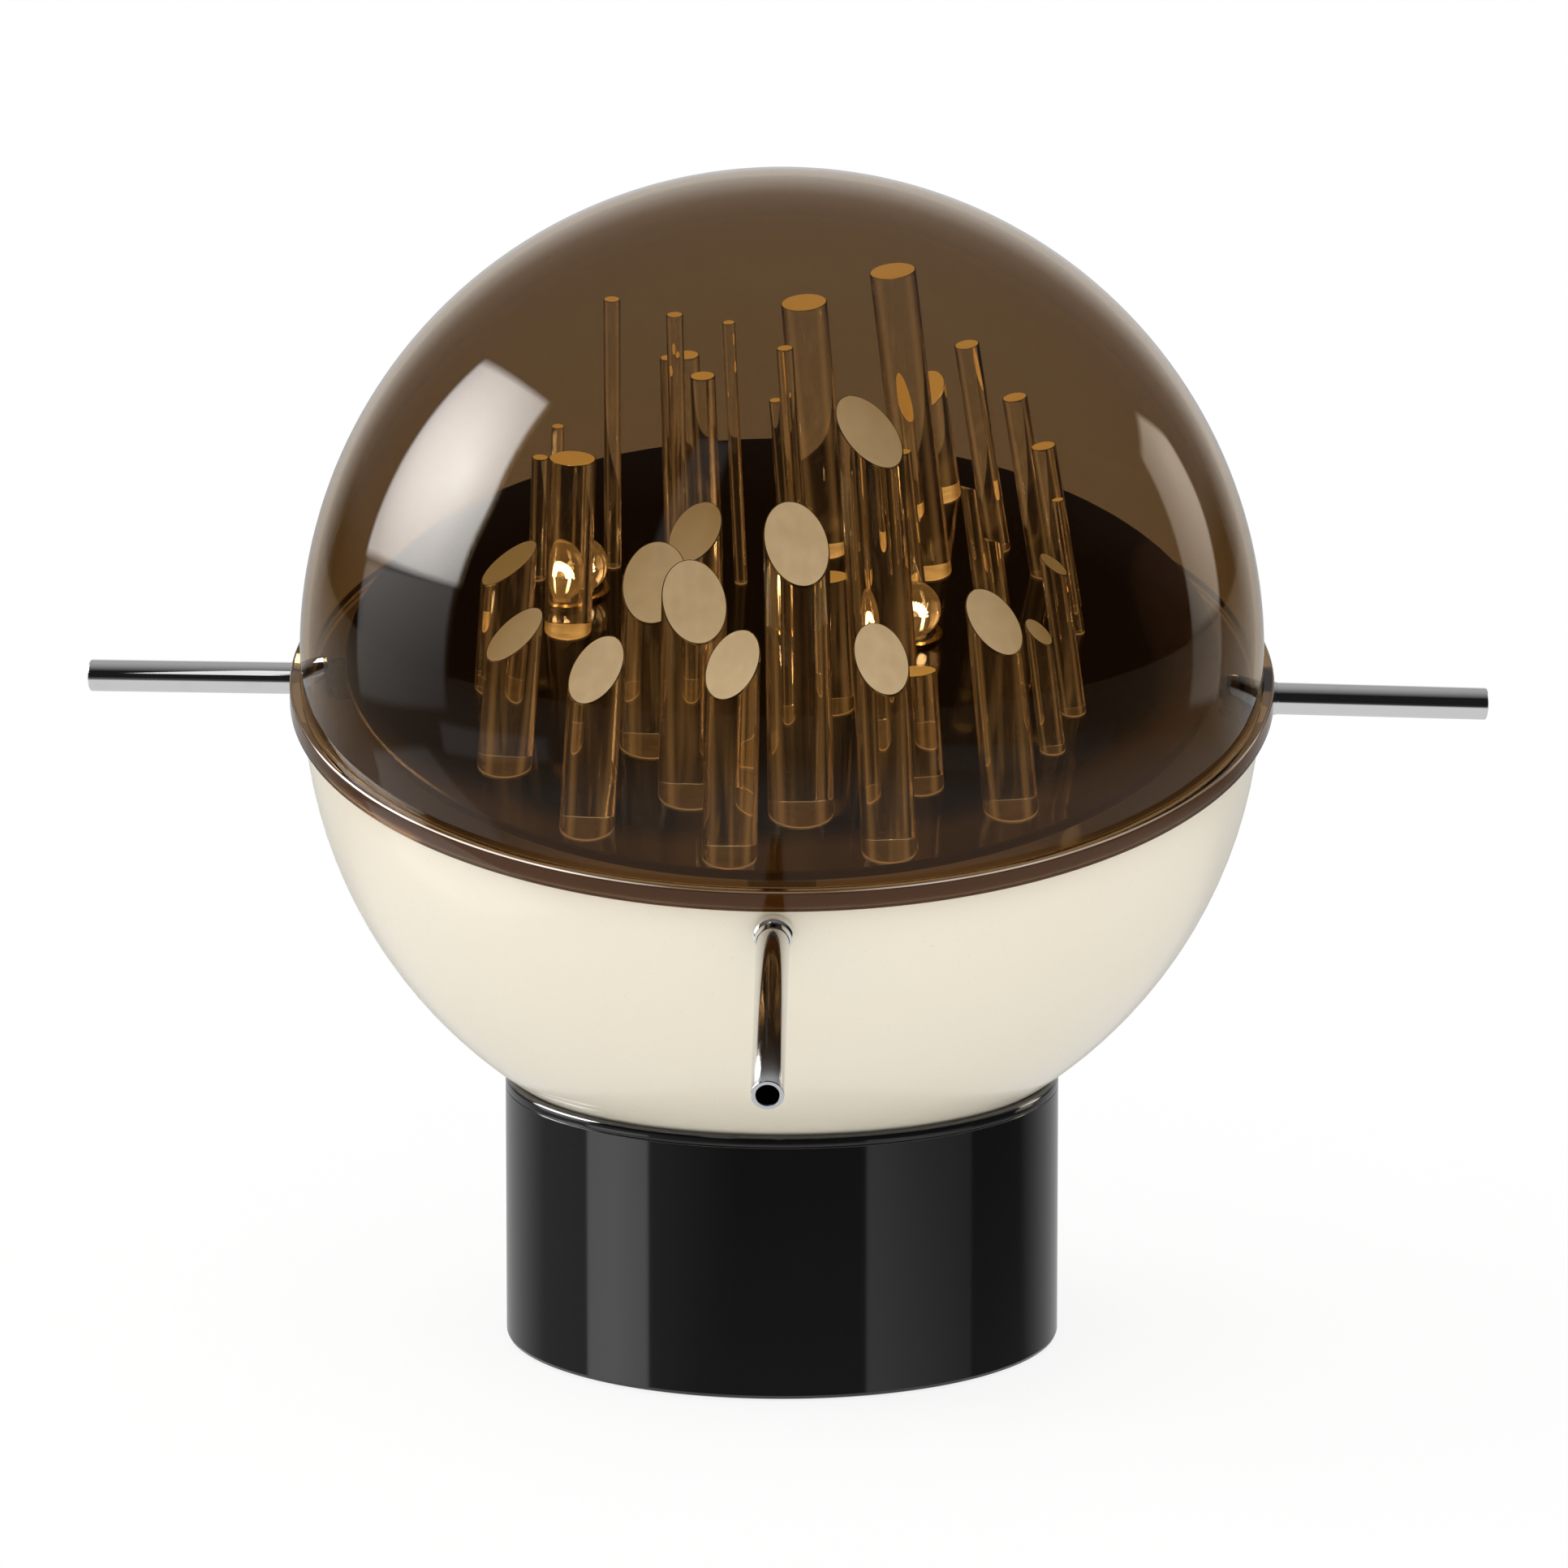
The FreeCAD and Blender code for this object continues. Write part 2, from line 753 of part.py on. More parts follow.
bolt_seat = -cap_height(bowl_radius, stem_thread)
nodes.append(
    turned(
        "stem_bolt",
        deck,
        [
            (bolt_bore, bolt_seat - bolt_head_height),
            (bolt_head - 1.5, bolt_seat - bolt_head_height),
            (bolt_head, bolt_seat - bolt_head_height + 1.5),
            (bolt_head, -cap_height(bowl_radius, bolt_head)),
            (stem_thread, bolt_seat),
            (stem_thread, bolt_seat + bolt_reach - 1),
            (stem_thread - 1, bolt_seat + bolt_reach),
            (bolt_bore, bolt_seat + bolt_reach),
        ],
        arcs=(3,),
    )
)

plate_screws = []
for quarter in range(4):
    plate_screws.append(
        pan_screw(
            "plate_screw_%d" % quarter,
            plate_screw_spots[quarter],
            plate_screw_radius,
            stem_flange_height + plate_screw_grip,
            screw_head_radius,
            screw_head_height,
        )
    )
nodes.append(grouped("plate_screws", plate_screws))

# The plate under the rods, drilled for the lamp holders, the stem's screws and the block's screws

plate_turn = turned(
    "plate_turn",
    deck,
    [
        (0, plate_under),
        (plate_radius - plate_edge, plate_under),
        (plate_radius, plate_under + plate_edge),
        (plate_radius, plate_level - plate_edge),
        (plate_radius - plate_edge, plate_level),
        (0, plate_level),
    ],
)
bulbs = {
    "left": (bulb_left_across, bulb_left_back),
    "right": (bulb_right_across, bulb_right_back),
}
plate_cuts = []
for side in bulbs:
    spot = deck.then(bulbs[side][0], bulbs[side][1], plate_under - 5)
    plate_cuts.append(cylinder("plate_hole_" + side, spot, sleeve_radius + sleeve_clearance, 20))
for quarter in range(4):
    tap = plate_screw_spots[quarter].then(0, 0, stem_flange_height - 1)
    grip = plate_screw_grip + 1.2
    plate_cuts.append(cylinder("plate_tap_%d" % quarter, tap, plate_screw_radius + thread_clearance, grip))
block_level = plate_under - block_height
block_spots = []
for end in (-1, 1):
    spot = deck.then(block_screw_spacing * end * 0.5, block_back, block_level)
    block_spots.append(spot)
    tap = spot.then(0, 0, block_height - 1)
    grip = plate_screw_grip + 1.2
    plate_cuts.append(
        cylinder("block_tap_%d" % (end + 1), tap, block_screw_radius + thread_clearance, grip)
    )
nodes.append(without("rod_plate", plate_turn, plate_cuts))

# The two lamp holders hang in the plate; a ring nut on top of the plate keeps each of them

lead_level = plate_level - plate_thickness - lead_drop
rings = []
leads = []
block_cuts = []
for side in bulbs:
    across, back = bulbs[side]
    spot = deck_top.then(across, back, 0)
    sign = -1 if side == "left" else 1
    mouth = block_back + block_width * 0.5
    run_across = lead_spread * sign - across
    run_back = mouth - back
    run = root(run_across * run_across + run_back * run_back)
    heading = bearing_of(run_back, run_across)
    lead_start = deck.then(across, back, lead_level, (0, 0, 1), heading).then(0, 0, 0, (0, 1, 0), 90)
    first = holder_radius - lead_entry
    lead_length = run - first + lead_entry
    tunnel = cylinder("lead_tunnel_" + side, lead_start.then(0, 0, first), lead_radius + lead_clearance, lead_length)
    block_cuts.append(tunnel)
    leads.append((side, lead_start.then(0, 0, first), lead_length))
    holder_turn = turned(
        "holder_turn_" + side,
        spot,
        [
            (0, -holder_depth),
            (holder_radius - 1, -holder_depth),
            (holder_radius, -holder_depth + 1),
            (holder_radius, -(plate_thickness + holder_flange_height)),
            (holder_flange, -(plate_thickness + holder_flange_height)),
            (holder_flange, -plate_thickness),
            (sleeve_radius, -plate_thickness),
            (sleeve_radius, ring_nut_height),
            (sleeve_bore, ring_nut_height),
            (sleeve_bore, -holder_depth + socket_floor),
            (0, -holder_depth + socket_floor),
        ],
    )
    nodes.append(without("lamp_holder_" + side, holder_turn, [tunnel]))
    rings.append(
        turned(
            "holder_ring_" + side,
            spot,
            [
                (sleeve_radius + thread_clearance, 0),
                (ring_nut_radius, 0),
                (ring_nut_radius, ring_nut_height - 0.5),
                (ring_nut_radius - 0.5, ring_nut_height),
                (sleeve_radius + thread_clearance, ring_nut_height),
            ],
        )
    )
nodes.append(grouped("holder_rings", rings))

# The terminal block with its two screws, and the leads that run straight to the holders

block_corner = deck.then(block_length * -0.5, block_back - block_width * 0.5, block_level)
block_solid = block("terminal_solid", block_corner, block_length, block_width, block_height)
for end in range(2):
    block_cuts.append(
        cylinder(
            "block_screw_hole_%d" % end,
            block_spots[end].then(0, 0, -1),
            block_screw_radius + screw_clearance,
            block_height + 2,
        )
    )
nodes.append(without("terminal_block", block_solid, block_cuts))
block_screws = []
for end in range(2):
    block_screws.append(
        pan_screw(
            "block_screw_%d" % end,
            block_spots[end],
            block_screw_radius,
            block_height + plate_screw_grip,
            block_screw_radius * 1.9,
            block_screw_radius * 1.2,
        )
    )
nodes.append(grouped("block_screws", block_screws))
for side, frame, length in leads:
    nodes.append(cylinder("lamp_lead_" + side, frame, lead_radius, length))

# The bulbs: a metal cap, a clear globe with the glass mount inside, and the filament on it

socket_deep = -holder_depth + socket_floor
cap_low = socket_deep + 0.3 + cap_tip
globe_inner = bulb_radius - bulb_wall
neck_inner = bulb_neck - bulb_wall
for side in bulbs:
    spot = deck_top.then(bulbs[side][0], bulbs[side][1], 0)
    nodes.append(
        turned(
            "bulb_cap_" + side,
            spot,
            [
                (0, cap_low - cap_tip),
                (2.2, cap_low - cap_tip),
                (3, cap_low),
                (cap_radius - 0.5, cap_low),
                (cap_radius, cap_low + 1),
                (cap_radius, 0.5),
                (bulb_neck + 0.1, 0.5),
                (bulb_neck + 0.1, -2),
                (0, -2),
            ],
        )
    )
    nodes.append(
        turned(
            "bulb_glass_" + side,
            spot,
            [
                (0, -1.9),
                (bulb_neck, -1.9),
                (bulb_neck, bulb_rise - cap_height(bulb_radius, bulb_neck)),
                (0, bulb_rise + bulb_radius),
                (0, bulb_rise + globe_inner),
                (neck_inner, bulb_rise - cap_height(globe_inner, neck_inner)),
                (neck_inner, -1),
                (2.4, -1),
                (1.6, bulb_rise - 7),
                (0, bulb_rise - 7),
            ],
            arcs=(2, 4),
        )
    )
    posts = []
    for end in (-1, 1):
        foot = spot.then(filament_span * 0.3 * end, 0, bulb_rise - 7.5, (0, 1, 0), 20 * end)
        posts.append(cylinder("post_%s_%d" % (side, end + 1), foot, filament_wire, 8.0))
    bar = spot.then(-filament_span - 0.6, 0, bulb_rise, (0, 1, 0), 90)
    posts.append(cylinder("bar_" + side, bar, filament_wire * 1.6, filament_span * 2 + 1.2))
    nodes.append(joined("filament_" + side, posts))

# The rods. Each one stands flat on the plate, leans, and is cut off at the top: at a slant that
# faces a chosen bearing, or square to its own axis. A rod's place is its share of the plate's
# radius in percent and its bearing from the front, to the right. Its height is a share in percent
# of the dome's ceiling over that place. The fourth number is where the slant face looks; None is
# a square cut.

rod_rows = {
    "broad_rod": (
        broad_rod_radius,
        [(52.7, -33.9, 38.8, -8.5), (69.5, -17.0, 51.68, 15), (74.5, 3.3, 75.4, 19), (46.0, 31.6, 70.23, 51)],
    ),
    "cut_rod": (
        cut_rod_radius,
        [
            (66.1, -74.6, 33.6, -88),
            (82.0, -49.4, 41.76, -72),
            (91.5, -28.3, 59.63, -37.7),
            (26.6, -47.0, 34.54, -38.5),
            (93.9, -7.1, 76.92, -32.6),
            (93.6, 14.7, 76.23, 22),
            (88.9, 35.1, 67.04, 43),
            (81.4, 153.9, 36.1, -60),
        ],
    ),
    "mid_rod": (
        mid_rod_radius,
        [
            (47.4, 167.7, 63.42, None),
            (49.4, 136.7, 76.9, None),
            (49.8, -99.6, 42.89, None),
            (28.8, 23.2, 28.49, None),
            (69.6, 26.4, 30.73, None),
        ],
    ),
    "slim_rod": (
        slim_rod_radius,
        [
            (68.4, 132.9, 61.06, None),
            (69.5, 119.6, 52.87, None),
            (68.9, 106.5, 46.63, None),
            (53.1, -157.4, 50.19, None),
            (44.4, -158.0, 46.42, None),
            (76.7, 52.6, 35.14, 68),
            (72.2, 66.0, 42.28, 87),
        ],
    ),
    "thin_rod": (
        thin_rod_radius,
        [
            (54.7, -134.3, 70.88, None),
            (34.5, -137.6, 66.28, None),
            (46.5, -147.4, 52.45, None),
            (32.7, 172.3, 54.98, None),
            (51.4, 115.4, 28.88, 150),
            (51.6, 98.2, 23.09, 145),
            (37.2, 121.8, 36.79, None),
            (65.2, -119.7, 34.71, None),
        ],
    ),
    "fine_rod": (
        fine_rod_radius,
        [
            (31.8, -162.7, 61.79, None),
            (52.9, 179.1, 36.11, None),
            (71.8, -133.1, 36.43, None),
            (68.3, 95.8, 38.11, None),
        ],
    ),
}


def clear_rod(name, radius, share, bearing, percent, faces):
    """One leaning rod: a circle on the plate, padded along the lean, with its top cut away."""
    reach = plate_radius * size(name + "_share", share) / 100
    bearing = size(name + "_bearing", bearing)
    across = reach * sine(bearing)
    back = -(reach * cosine(bearing))
    ceiling = cap_height(dome_inside, reach) + dome_rise - plate_level
    height = ceiling * size(name + "_ceiling_percent", percent) / 100
    lean_x = (lean_across - lean_swirl * back - across) / lean_height
    lean_y = (lean_back - back) / lean_height
    if faces is None:
        heading = bearing_of(lean_y, lean_x)
        along = root(lean_x * lean_x + lean_y * lean_y)
        aside = as_size(0)
        slope = along
    else:
        heading = size(name + "_faces", faces) - 90
        along = lean_x * cosine(heading) + lean_y * sine(heading)
        aside = lean_y * cosine(heading) - lean_x * sine(heading)
        slope = tangent(slant_angle)
    body = new_body(name, deck_top.then(across, back, 0, (0, 0, 1), heading))
    ring = new_sketch(body, "XY_Plane", name + "_ring")
    ring.addGeometry(Part.Circle(Vector(0, 0, 0), Vector(0, 0, 1), radius.number))
    ring.addConstraint(Sketcher.Constraint("Coincident", 0, 3, -1, 1))
    fix(ring, "Radius", (0,), radius)
    pad = body.newObject("PartDesign::Pad", name + "_pad")
    pad.Profile = ring
    pad.UseCustomVector = True
    pad.Direction = Vector(along.number, aside.number, 1)
    pad.setExpression("Direction.x", along.text)
    pad.setExpression("Direction.y", aside.text)
    pad.AlongSketchNormal = True
    pad.setExpression("Length", (height + slope * radius * 1.5 + 2).text)
    knife = new_sketch(body, "XZ_Plane", name + "_knife")
    middle = along * height
    wide = radius * 2.2
    edge = [
        (middle - wide, height + slope * wide),
        (middle + wide, height - slope * wide),
        (middle + wide, height + slope * wide + 12),
        (middle - wide, height + slope * wide + 12),
    ]
    outline(knife, edge)
    cut = body.newObject("PartDesign::Pocket", name + "_cut")
    cut.Profile = knife
    cut.Type = "ThroughAll"
    cut.SideType = "Symmetric"
    body.Tip = cut
    bites.append((name, pad, cut))
    return body


for family in rod_rows:
    radius, rows = rod_rows[family]
    family_rods = []
    for number, (share, bearing, percent, faces) in enumerate(rows, 1):
        name = "%s_%d" % (family, number)
        family_rods.append(clear_rod(name, radius, share, bearing, percent, faces))
    if family in ("broad_rod", "cut_rod", "mid_rod"):
        nodes.extend(family_rods)
    else:
        nodes.append(grouped(family + "s", family_rods))

# Work everything out, look at each object and write one file for each node

doc.recompute()
for item in doc.Objects:
    for state in item.State:
        if state in ("Invalid", "Error"):
            raise RuntimeError("%s is %s" % (item.Name, state))
for name, whole, cut in bites:
    if not cut.Shape.Volume < whole.Shape.Volume - 0.01:
        raise RuntimeError("the cut of %s takes nothing away" % name)
os.makedirs("parts", exist_ok=True)
for node in nodes:
    shape = node.Shape
    if shape.isNull() or not shape.isValid() or not shape.Solids:
        raise RuntimeError("%s has no good solid" % node.Label)
    shape.exportStep("parts/%s.step" % node.Label)
    box = shape.BoundBox
    print("%s: %d solid(s), %.0f mm3, z %.1f to %.1f" % (node.Label, len(shape.Solids), shape.Volume, box.ZMin, box.ZMax))
print("%d nodes" % len(nodes))
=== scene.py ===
"""Dress the ball lamp: finishes, finer pieces, the studio and the camera.

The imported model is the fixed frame. Lengths are metres and angles degrees. The lamp stands on
Z = 0, and the viewer is at -Y.
"""

import json
import logging
import math
from dataclasses import dataclass
from enum import Enum
from typing import Mapping, Optional, Sequence, Union

import bmesh
import bpy
from mathutils import Matrix, Vector

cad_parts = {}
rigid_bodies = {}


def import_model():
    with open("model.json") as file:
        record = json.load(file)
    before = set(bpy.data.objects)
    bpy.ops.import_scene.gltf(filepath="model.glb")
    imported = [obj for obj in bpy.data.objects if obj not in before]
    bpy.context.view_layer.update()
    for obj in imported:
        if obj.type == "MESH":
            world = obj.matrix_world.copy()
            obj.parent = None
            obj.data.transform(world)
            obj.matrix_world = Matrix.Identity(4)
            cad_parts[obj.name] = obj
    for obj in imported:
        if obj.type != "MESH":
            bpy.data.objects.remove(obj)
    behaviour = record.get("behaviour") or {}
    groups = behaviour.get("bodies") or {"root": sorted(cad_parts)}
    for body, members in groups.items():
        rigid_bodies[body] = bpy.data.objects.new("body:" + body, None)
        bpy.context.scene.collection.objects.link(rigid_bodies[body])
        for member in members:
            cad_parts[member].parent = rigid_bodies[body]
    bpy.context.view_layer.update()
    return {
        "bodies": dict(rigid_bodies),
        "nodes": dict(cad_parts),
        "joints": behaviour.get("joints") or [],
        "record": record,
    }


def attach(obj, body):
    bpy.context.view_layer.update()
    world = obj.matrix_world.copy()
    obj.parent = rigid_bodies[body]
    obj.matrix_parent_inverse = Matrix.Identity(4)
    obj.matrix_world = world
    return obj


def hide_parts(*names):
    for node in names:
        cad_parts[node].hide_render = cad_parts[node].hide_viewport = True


LOG = logging.getLogger("ball_lamp")
MM = 0.001

Triple = tuple[float, float, float]
Colour = Triple
Point = tuple[float, float]
Number = Union["Signal", float]
Tone = Union["Signal", Colour]

DARK: Colour = (0.0, 0.0, 0.0)
WHITE: Colour = (1.0, 1.0, 1.0)
EVEN: Triple = (1.0, 1.0, 1.0)
RIGHT = Vector((1, 0, 0))
FRONT = Vector((0, -1, 0))
UP = Vector((0, 0, 1))

SEAT_EDGE = 126.0 * MM
BOWL_INSIDE = 220.0 * MM
DOME_INSIDE = 221.0 * MM
DOME_RISE = 18.6 * MM
PLATE_RADIUS = 204.0 * MM


# Shader building.


class Signal:
    """One output socket of a material, with arithmetic that adds Math nodes."""

    def __init__(self, paint: "Paint", socket: bpy.types.NodeSocket) -> None:
        """Keep the socket and the material that it is part of."""
        self.paint = paint
        self.socket = socket

    def _math(self, operation: str, first: Number, second: Number) -> "Signal":
        """Add one Math node.

        Args:
            operation: The node's operation.
            first: Its first value.
            second: Its second value.

        Returns:
            The result.
        """
        settings = {"operation": operation}
        return self.paint.node("ShaderNodeMath", settings, {"Value": first, "Value_001": second})

    def __add__(self, other: Number) -> "Signal":
        """Return self + other."""
        return self._math("ADD", self, other)

    def __radd__(self, other: Number) -> "Signal":
        """Return other + self."""
        return self._math("ADD", other, self)

    def __sub__(self, other: Number) -> "Signal":
        """Return self - other."""
        return self._math("SUBTRACT", self, other)

    def __rsub__(self, other: Number) -> "Signal":
        """Return other - self."""
        return self._math("SUBTRACT", other, self)

    def __mul__(self, other: Number) -> "Signal":
        """Return self * other."""
        return self._math("MULTIPLY", self, other)

    def __rmul__(self, other: Number) -> "Signal":
        """Return other * self."""
        return self._math("MULTIPLY", other, self)

    def __abs__(self) -> "Signal":
        """Return the size of self without its sign."""
        return self._math("ABSOLUTE", self, 0.0)

    def most(self, other: Number) -> "Signal":
        """Return the larger of self and other."""
        return self._math("MAXIMUM", self, other)

    def least(self, other: Number) -> "Signal":
        """Return the smaller of self and other."""
        return self._math("MINIMUM", self, other)

    def held(self) -> "Signal":
        """Return self held between 0 and 1."""
        return self.most(0.0).least(1.0)


class Paint:
    """One material while it is being made."""

    def __init__(self, name: str, tree: Optional[bpy.types.NodeTree] = None) -> None:
        """Start an empty material, or take the node tree of a world.

        Args:
            name: The material's name.
            tree: A node tree to build in, where it isn't a material.
        """
        self.material: Optional[bpy.types.Material] = None
        if tree is None:
            self.material = bpy.data.materials.new(name)
            self.material.use_nodes = True
            tree = self.material.node_tree
        self.tree = tree
        self.tree.nodes.clear()

    def node(
        self,
        kind: str,
        settings: Optional[Mapping[str, object]] = None,
        sockets: Optional[Mapping[str, object]] = None,
        result: str = "",
    ) -> Signal:
        """Add a node, set it up and join its sockets.

        Args:
            kind: The node's type.
            settings: Its properties.
            sockets: Values or signals for its inputs, by identifier or by name.
            result: The output wanted, by identifier or by name; the first if empty.

        Returns:
            That output.
        """
        node = self.tree.nodes.new(kind)
        for key, value in (settings or {}).items():
            setattr(node, key, value)
        for key, value in (sockets or {}).items():
            socket = self._find(node.inputs, key)
            if isinstance(value, Signal):
                self.tree.links.new(value.socket, socket)
            elif isinstance(value, tuple) and socket.type == "RGBA":
                socket.default_value = (*value[:3], 1.0)
            else:
                socket.default_value = value
        outputs = node.outputs
        return Signal(self, self._find(outputs, result) if result else outputs[0]) if outputs else None

    @staticmethod
    def _find(sockets: Sequence[bpy.types.NodeSocket], key: str) -> bpy.types.NodeSocket:
        """Find a socket.

        Args:
            sockets: The node's inputs or outputs.
            key: The identifier or the name.

        Returns:
            The socket with that identifier, or else with that name.
        """
        for socket in sockets:
            if socket.identifier == key:
                return socket
        return next(socket for socket in sockets if socket.name == key and socket.enabled)

    def place(self, stretch: Triple = EVEN) -> Signal:
        """Find the point on the piece in the lamp's own axes.

        Args:
            stretch: Factors for the three axes.

        Returns:
            The point.
        """
        spot = self.node("ShaderNodeTexCoord", result="Object")
        if stretch == EVEN:
            return spot
        sockets = {"Vector": spot, "Vector_001": stretch}
        return self.node("ShaderNodeVectorMath", {"operation": "MULTIPLY"}, sockets)

    def along(self, axis: Vector) -> Signal:
        """Return how far the point lies along an axis through the origin."""
        sockets = {"Vector": self.place(), "Vector_001": tuple(axis)}
        return self.node("ShaderNodeVectorMath", {"operation": "DOT_PRODUCT"}, sockets, "Value")

    def distance(self, centre: Vector) -> Signal:
        """Return how far the point lies from a centre."""
        sockets = {"Vector": self.place(), "Vector_001": tuple(centre)}
        return self.node("ShaderNodeVectorMath", {"operation": "DISTANCE"}, sockets, "Value")

    def noise(
        self, scale: float, detail: float = 3.0, rough: float = 0.5, stretch: Triple = EVEN
    ) -> Signal:
        """Return noise about 0.5.

        Args:
            scale: Cells per metre.
            detail: Octaves.
            rough: How strong the finer octaves are.
            stretch: Factors for the three axes.

        Returns:
            The noise value.
        """
        sockets = {"Vector": self.place(stretch), "Scale": scale, "Detail": detail, "Roughness": rough}
        return self.node("ShaderNodeTexNoise", None, sockets)

    def patches(self, value: Signal, low: float, high: float) -> Signal:
        """Return 0 below low, 1 above high and a straight rise between."""
        return ((value - low) * (1.0 / (high - low))).held()

    def tint(self, share: Number, first: Tone, second: Tone) -> Signal:
        """Mix two colours.

        Args:
            share: How much of the second one shows.
            first: A colour or a signal.
            second: A colour or a signal.

        Returns:
            The colour.
        """
        sockets = {"Factor_Float": share, "A_Color": first, "B_Color": second}
        return self.node("ShaderNodeMix", {"data_type": "RGBA"}, sockets, "Result_Color")

    def relief(self, height: Signal, depth: float) -> Signal:
        """Return a normal bent by a height map whose white stands `depth` metres high."""
        sockets = {"Height": height, "Distance": depth, "Strength": 1.0}
        return self.node("ShaderNodeBump", None, sockets)

    def ray(self, kind: str) -> Signal:
        """Return 1 for one kind of ray and 0 for the others."""
        return self.node("ShaderNodeLightPath", result=kind)

    def grazing(self) -> Signal:
        """Return 0 where the surface is met squarely, up to 1 where it is met edge on."""
        return self.node("ShaderNodeLayerWeight", None, {"Blend": 0.5}, "Facing")

    def surface(self, sockets: Mapping[str, object]) -> Signal:
        """Return a Principled shader with these inputs."""
        return self.node("ShaderNodeBsdfPrincipled", None, sockets, "BSDF")

    def swapped(self, share: Signal, first: Signal, second: Signal) -> Signal:
        """Return the first shader, or the second where share is 1."""
        sockets = {"Fac": share, "Shader": first, "Shader_001": second}
        return self.node("ShaderNodeMixShader", None, sockets)

    def opened(self, glass: Signal, veil: Colour) -> Signal:
        """Let light from lamps and from matt surfaces through a clear piece, unbent.

        Args:
            glass: The clear shader.
            veil: The colour that each of the piece's two surfaces lets through.

        Returns:
            The shader for all rays.
        """
        passing = self.ray("Is Shadow Ray").most(self.ray("Is Diffuse Ray"))
        open_way = self.node("ShaderNodeBsdfTransparent", None, {"Color": veil})
        return self.swapped(passing, glass, open_way)

    def done(self, shader: Signal) -> bpy.types.Material:
        """Join the shader to the output and return the material."""
        self.node("ShaderNodeOutputMaterial", None, {"Surface": shader})
        return self.material


# Finishes.


@dataclass(frozen=True)
class BlackLacquer:
    """Deep black gloss lacquer on the turned base."""

    colour: Colour = (0.0035, 0.0034, 0.0036)
    dust: Colour = (0.016, 0.0155, 0.0155)
    roughness: float = 0.075
    low_edge: float = 0.8 * MM
    high_edge: float = 121.0 * MM

    def make(self) -> bpy.types.Material:
        """Make the material: cloudy gloss, fine dust and rubbed edges.

        Returns:
            The material.
        """
        paint = Paint("black_gloss_lacquer")
        cloud = paint.noise(9.0, 4.0)
        grain = paint.noise(1500.0, 2.0)
        level = paint.along(UP)
        rim = 1.0 - paint.patches(abs(level - self.high_edge), 0.0, 1.1 * MM)
        foot = 1.0 - paint.patches(abs(level - self.low_edge), 0.0, 1.6 * MM)
        worn = rim.most(foot) * paint.patches(paint.noise(60.0, 3.0), 0.45, 0.75)
        specks = paint.patches(paint.noise(700.0, 1.0), 0.74, 0.82) * 0.25
        sockets = {
            "Base Color": paint.tint((worn * 0.6).most(specks), self.colour, self.dust),
            "Roughness": self.roughness + (cloud - 0.5) * 0.04 + (grain - 0.5) * 0.02 + worn * 0.12,
            "Specular IOR Level": 0.9,
            "Normal": paint.relief(grain, 0.002 * MM),
        }
        return paint.done(paint.surface(sockets))


@dataclass(frozen=True)
class RimGloss:
    """Polished black of the seat ring, rubbed a little paler where the ball turns."""

    colour: Colour = (0.004, 0.004, 0.004)
    rubbed: Colour = (0.05, 0.047, 0.043)
    edge: float = SEAT_EDGE

    def make(self) -> bpy.types.Material:
        """Make the material: a bright gloss with faint turning marks.

        Returns:
            The material.
        """
        paint = Paint("polished_black_rim")
        turning = paint.noise(30.0, 3.0, 0.5, (1.0, 1.0, 40.0))
        level = paint.along(UP)
        rub = (1.0 - paint.patches(abs(level - self.edge), 0.0, 0.9 * MM)) * turning
        sockets = {
            "Base Color": paint.tint(rub, self.colour, self.rubbed),
            "Roughness": 0.07 + (turning - 0.5) * 0.04 + rub * 0.06,
            "Specular IOR Level": 0.9,
            "Normal": paint.relief(turning, 0.004 * MM),
        }
        return paint.done(paint.surface(sockets))


@dataclass(frozen=True)
class IvoryGloss:
    """Warm ivory, glossy moulded bowl, with a painted glow on its inside that stands in for the light which
    passes the plate.
    """

    centre: Vector
    inner: float
    colour: Colour = (0.9, 0.835, 0.69)
    warm: Colour = (0.885, 0.81, 0.65)
    speck: Colour = (0.5, 0.42, 0.3)
    # Colour of the painted glow inside the bowl.
    lit: Colour = (0.15, 0.093, 0.046)

    def make(self) -> bpy.types.Material:
        """Make the material: a gloss over a very faint flow of the moulding, and the painted glow inside.

        Returns:
            The material.
        """
        paint = Paint("ivory_gloss")
        flow = paint.noise(5.0, 3.0, 0.5, (1.0, 1.0, 2.2))
        fine = paint.noise(260.0, 3.0)
        specks = paint.patches(paint.noise(820.0, 0.0), 0.79, 0.84)
        colour = paint.tint(paint.patches(flow, 0.3, 0.7), self.colour, self.warm)
        colour = paint.tint(specks * 0.2, colour, self.speck)
        # Painted light: the inside of the bowl glows, except deep down.
        start, end = self.inner + 0.5 * MM, self.inner + 2.0 * MM
        painted_inside_glow = 1.0 - paint.patches(paint.distance(self.centre), start, end)
        deep = paint.along(UP) - self.centre.z
        painted_inside_glow = painted_inside_glow * (1.0 - paint.patches(deep, -0.117, -0.092))
        sockets = {
            "Base Color": colour,
            "Emission Color": paint.tint(painted_inside_glow * (0.6 + flow * 0.8), DARK, self.lit),
            "Emission Strength": 1.0,
            "Roughness": 0.3 + (fine - 0.5) * 0.06 + (flow - 0.5) * 0.06,
            "Coat Weight": 0.6 + (fine - 0.5) * 0.1,
            "Coat Roughness": 0.05,
            "Normal": paint.relief(flow, 0.04 * MM),
        }
        return paint.done(paint.surface(sockets))


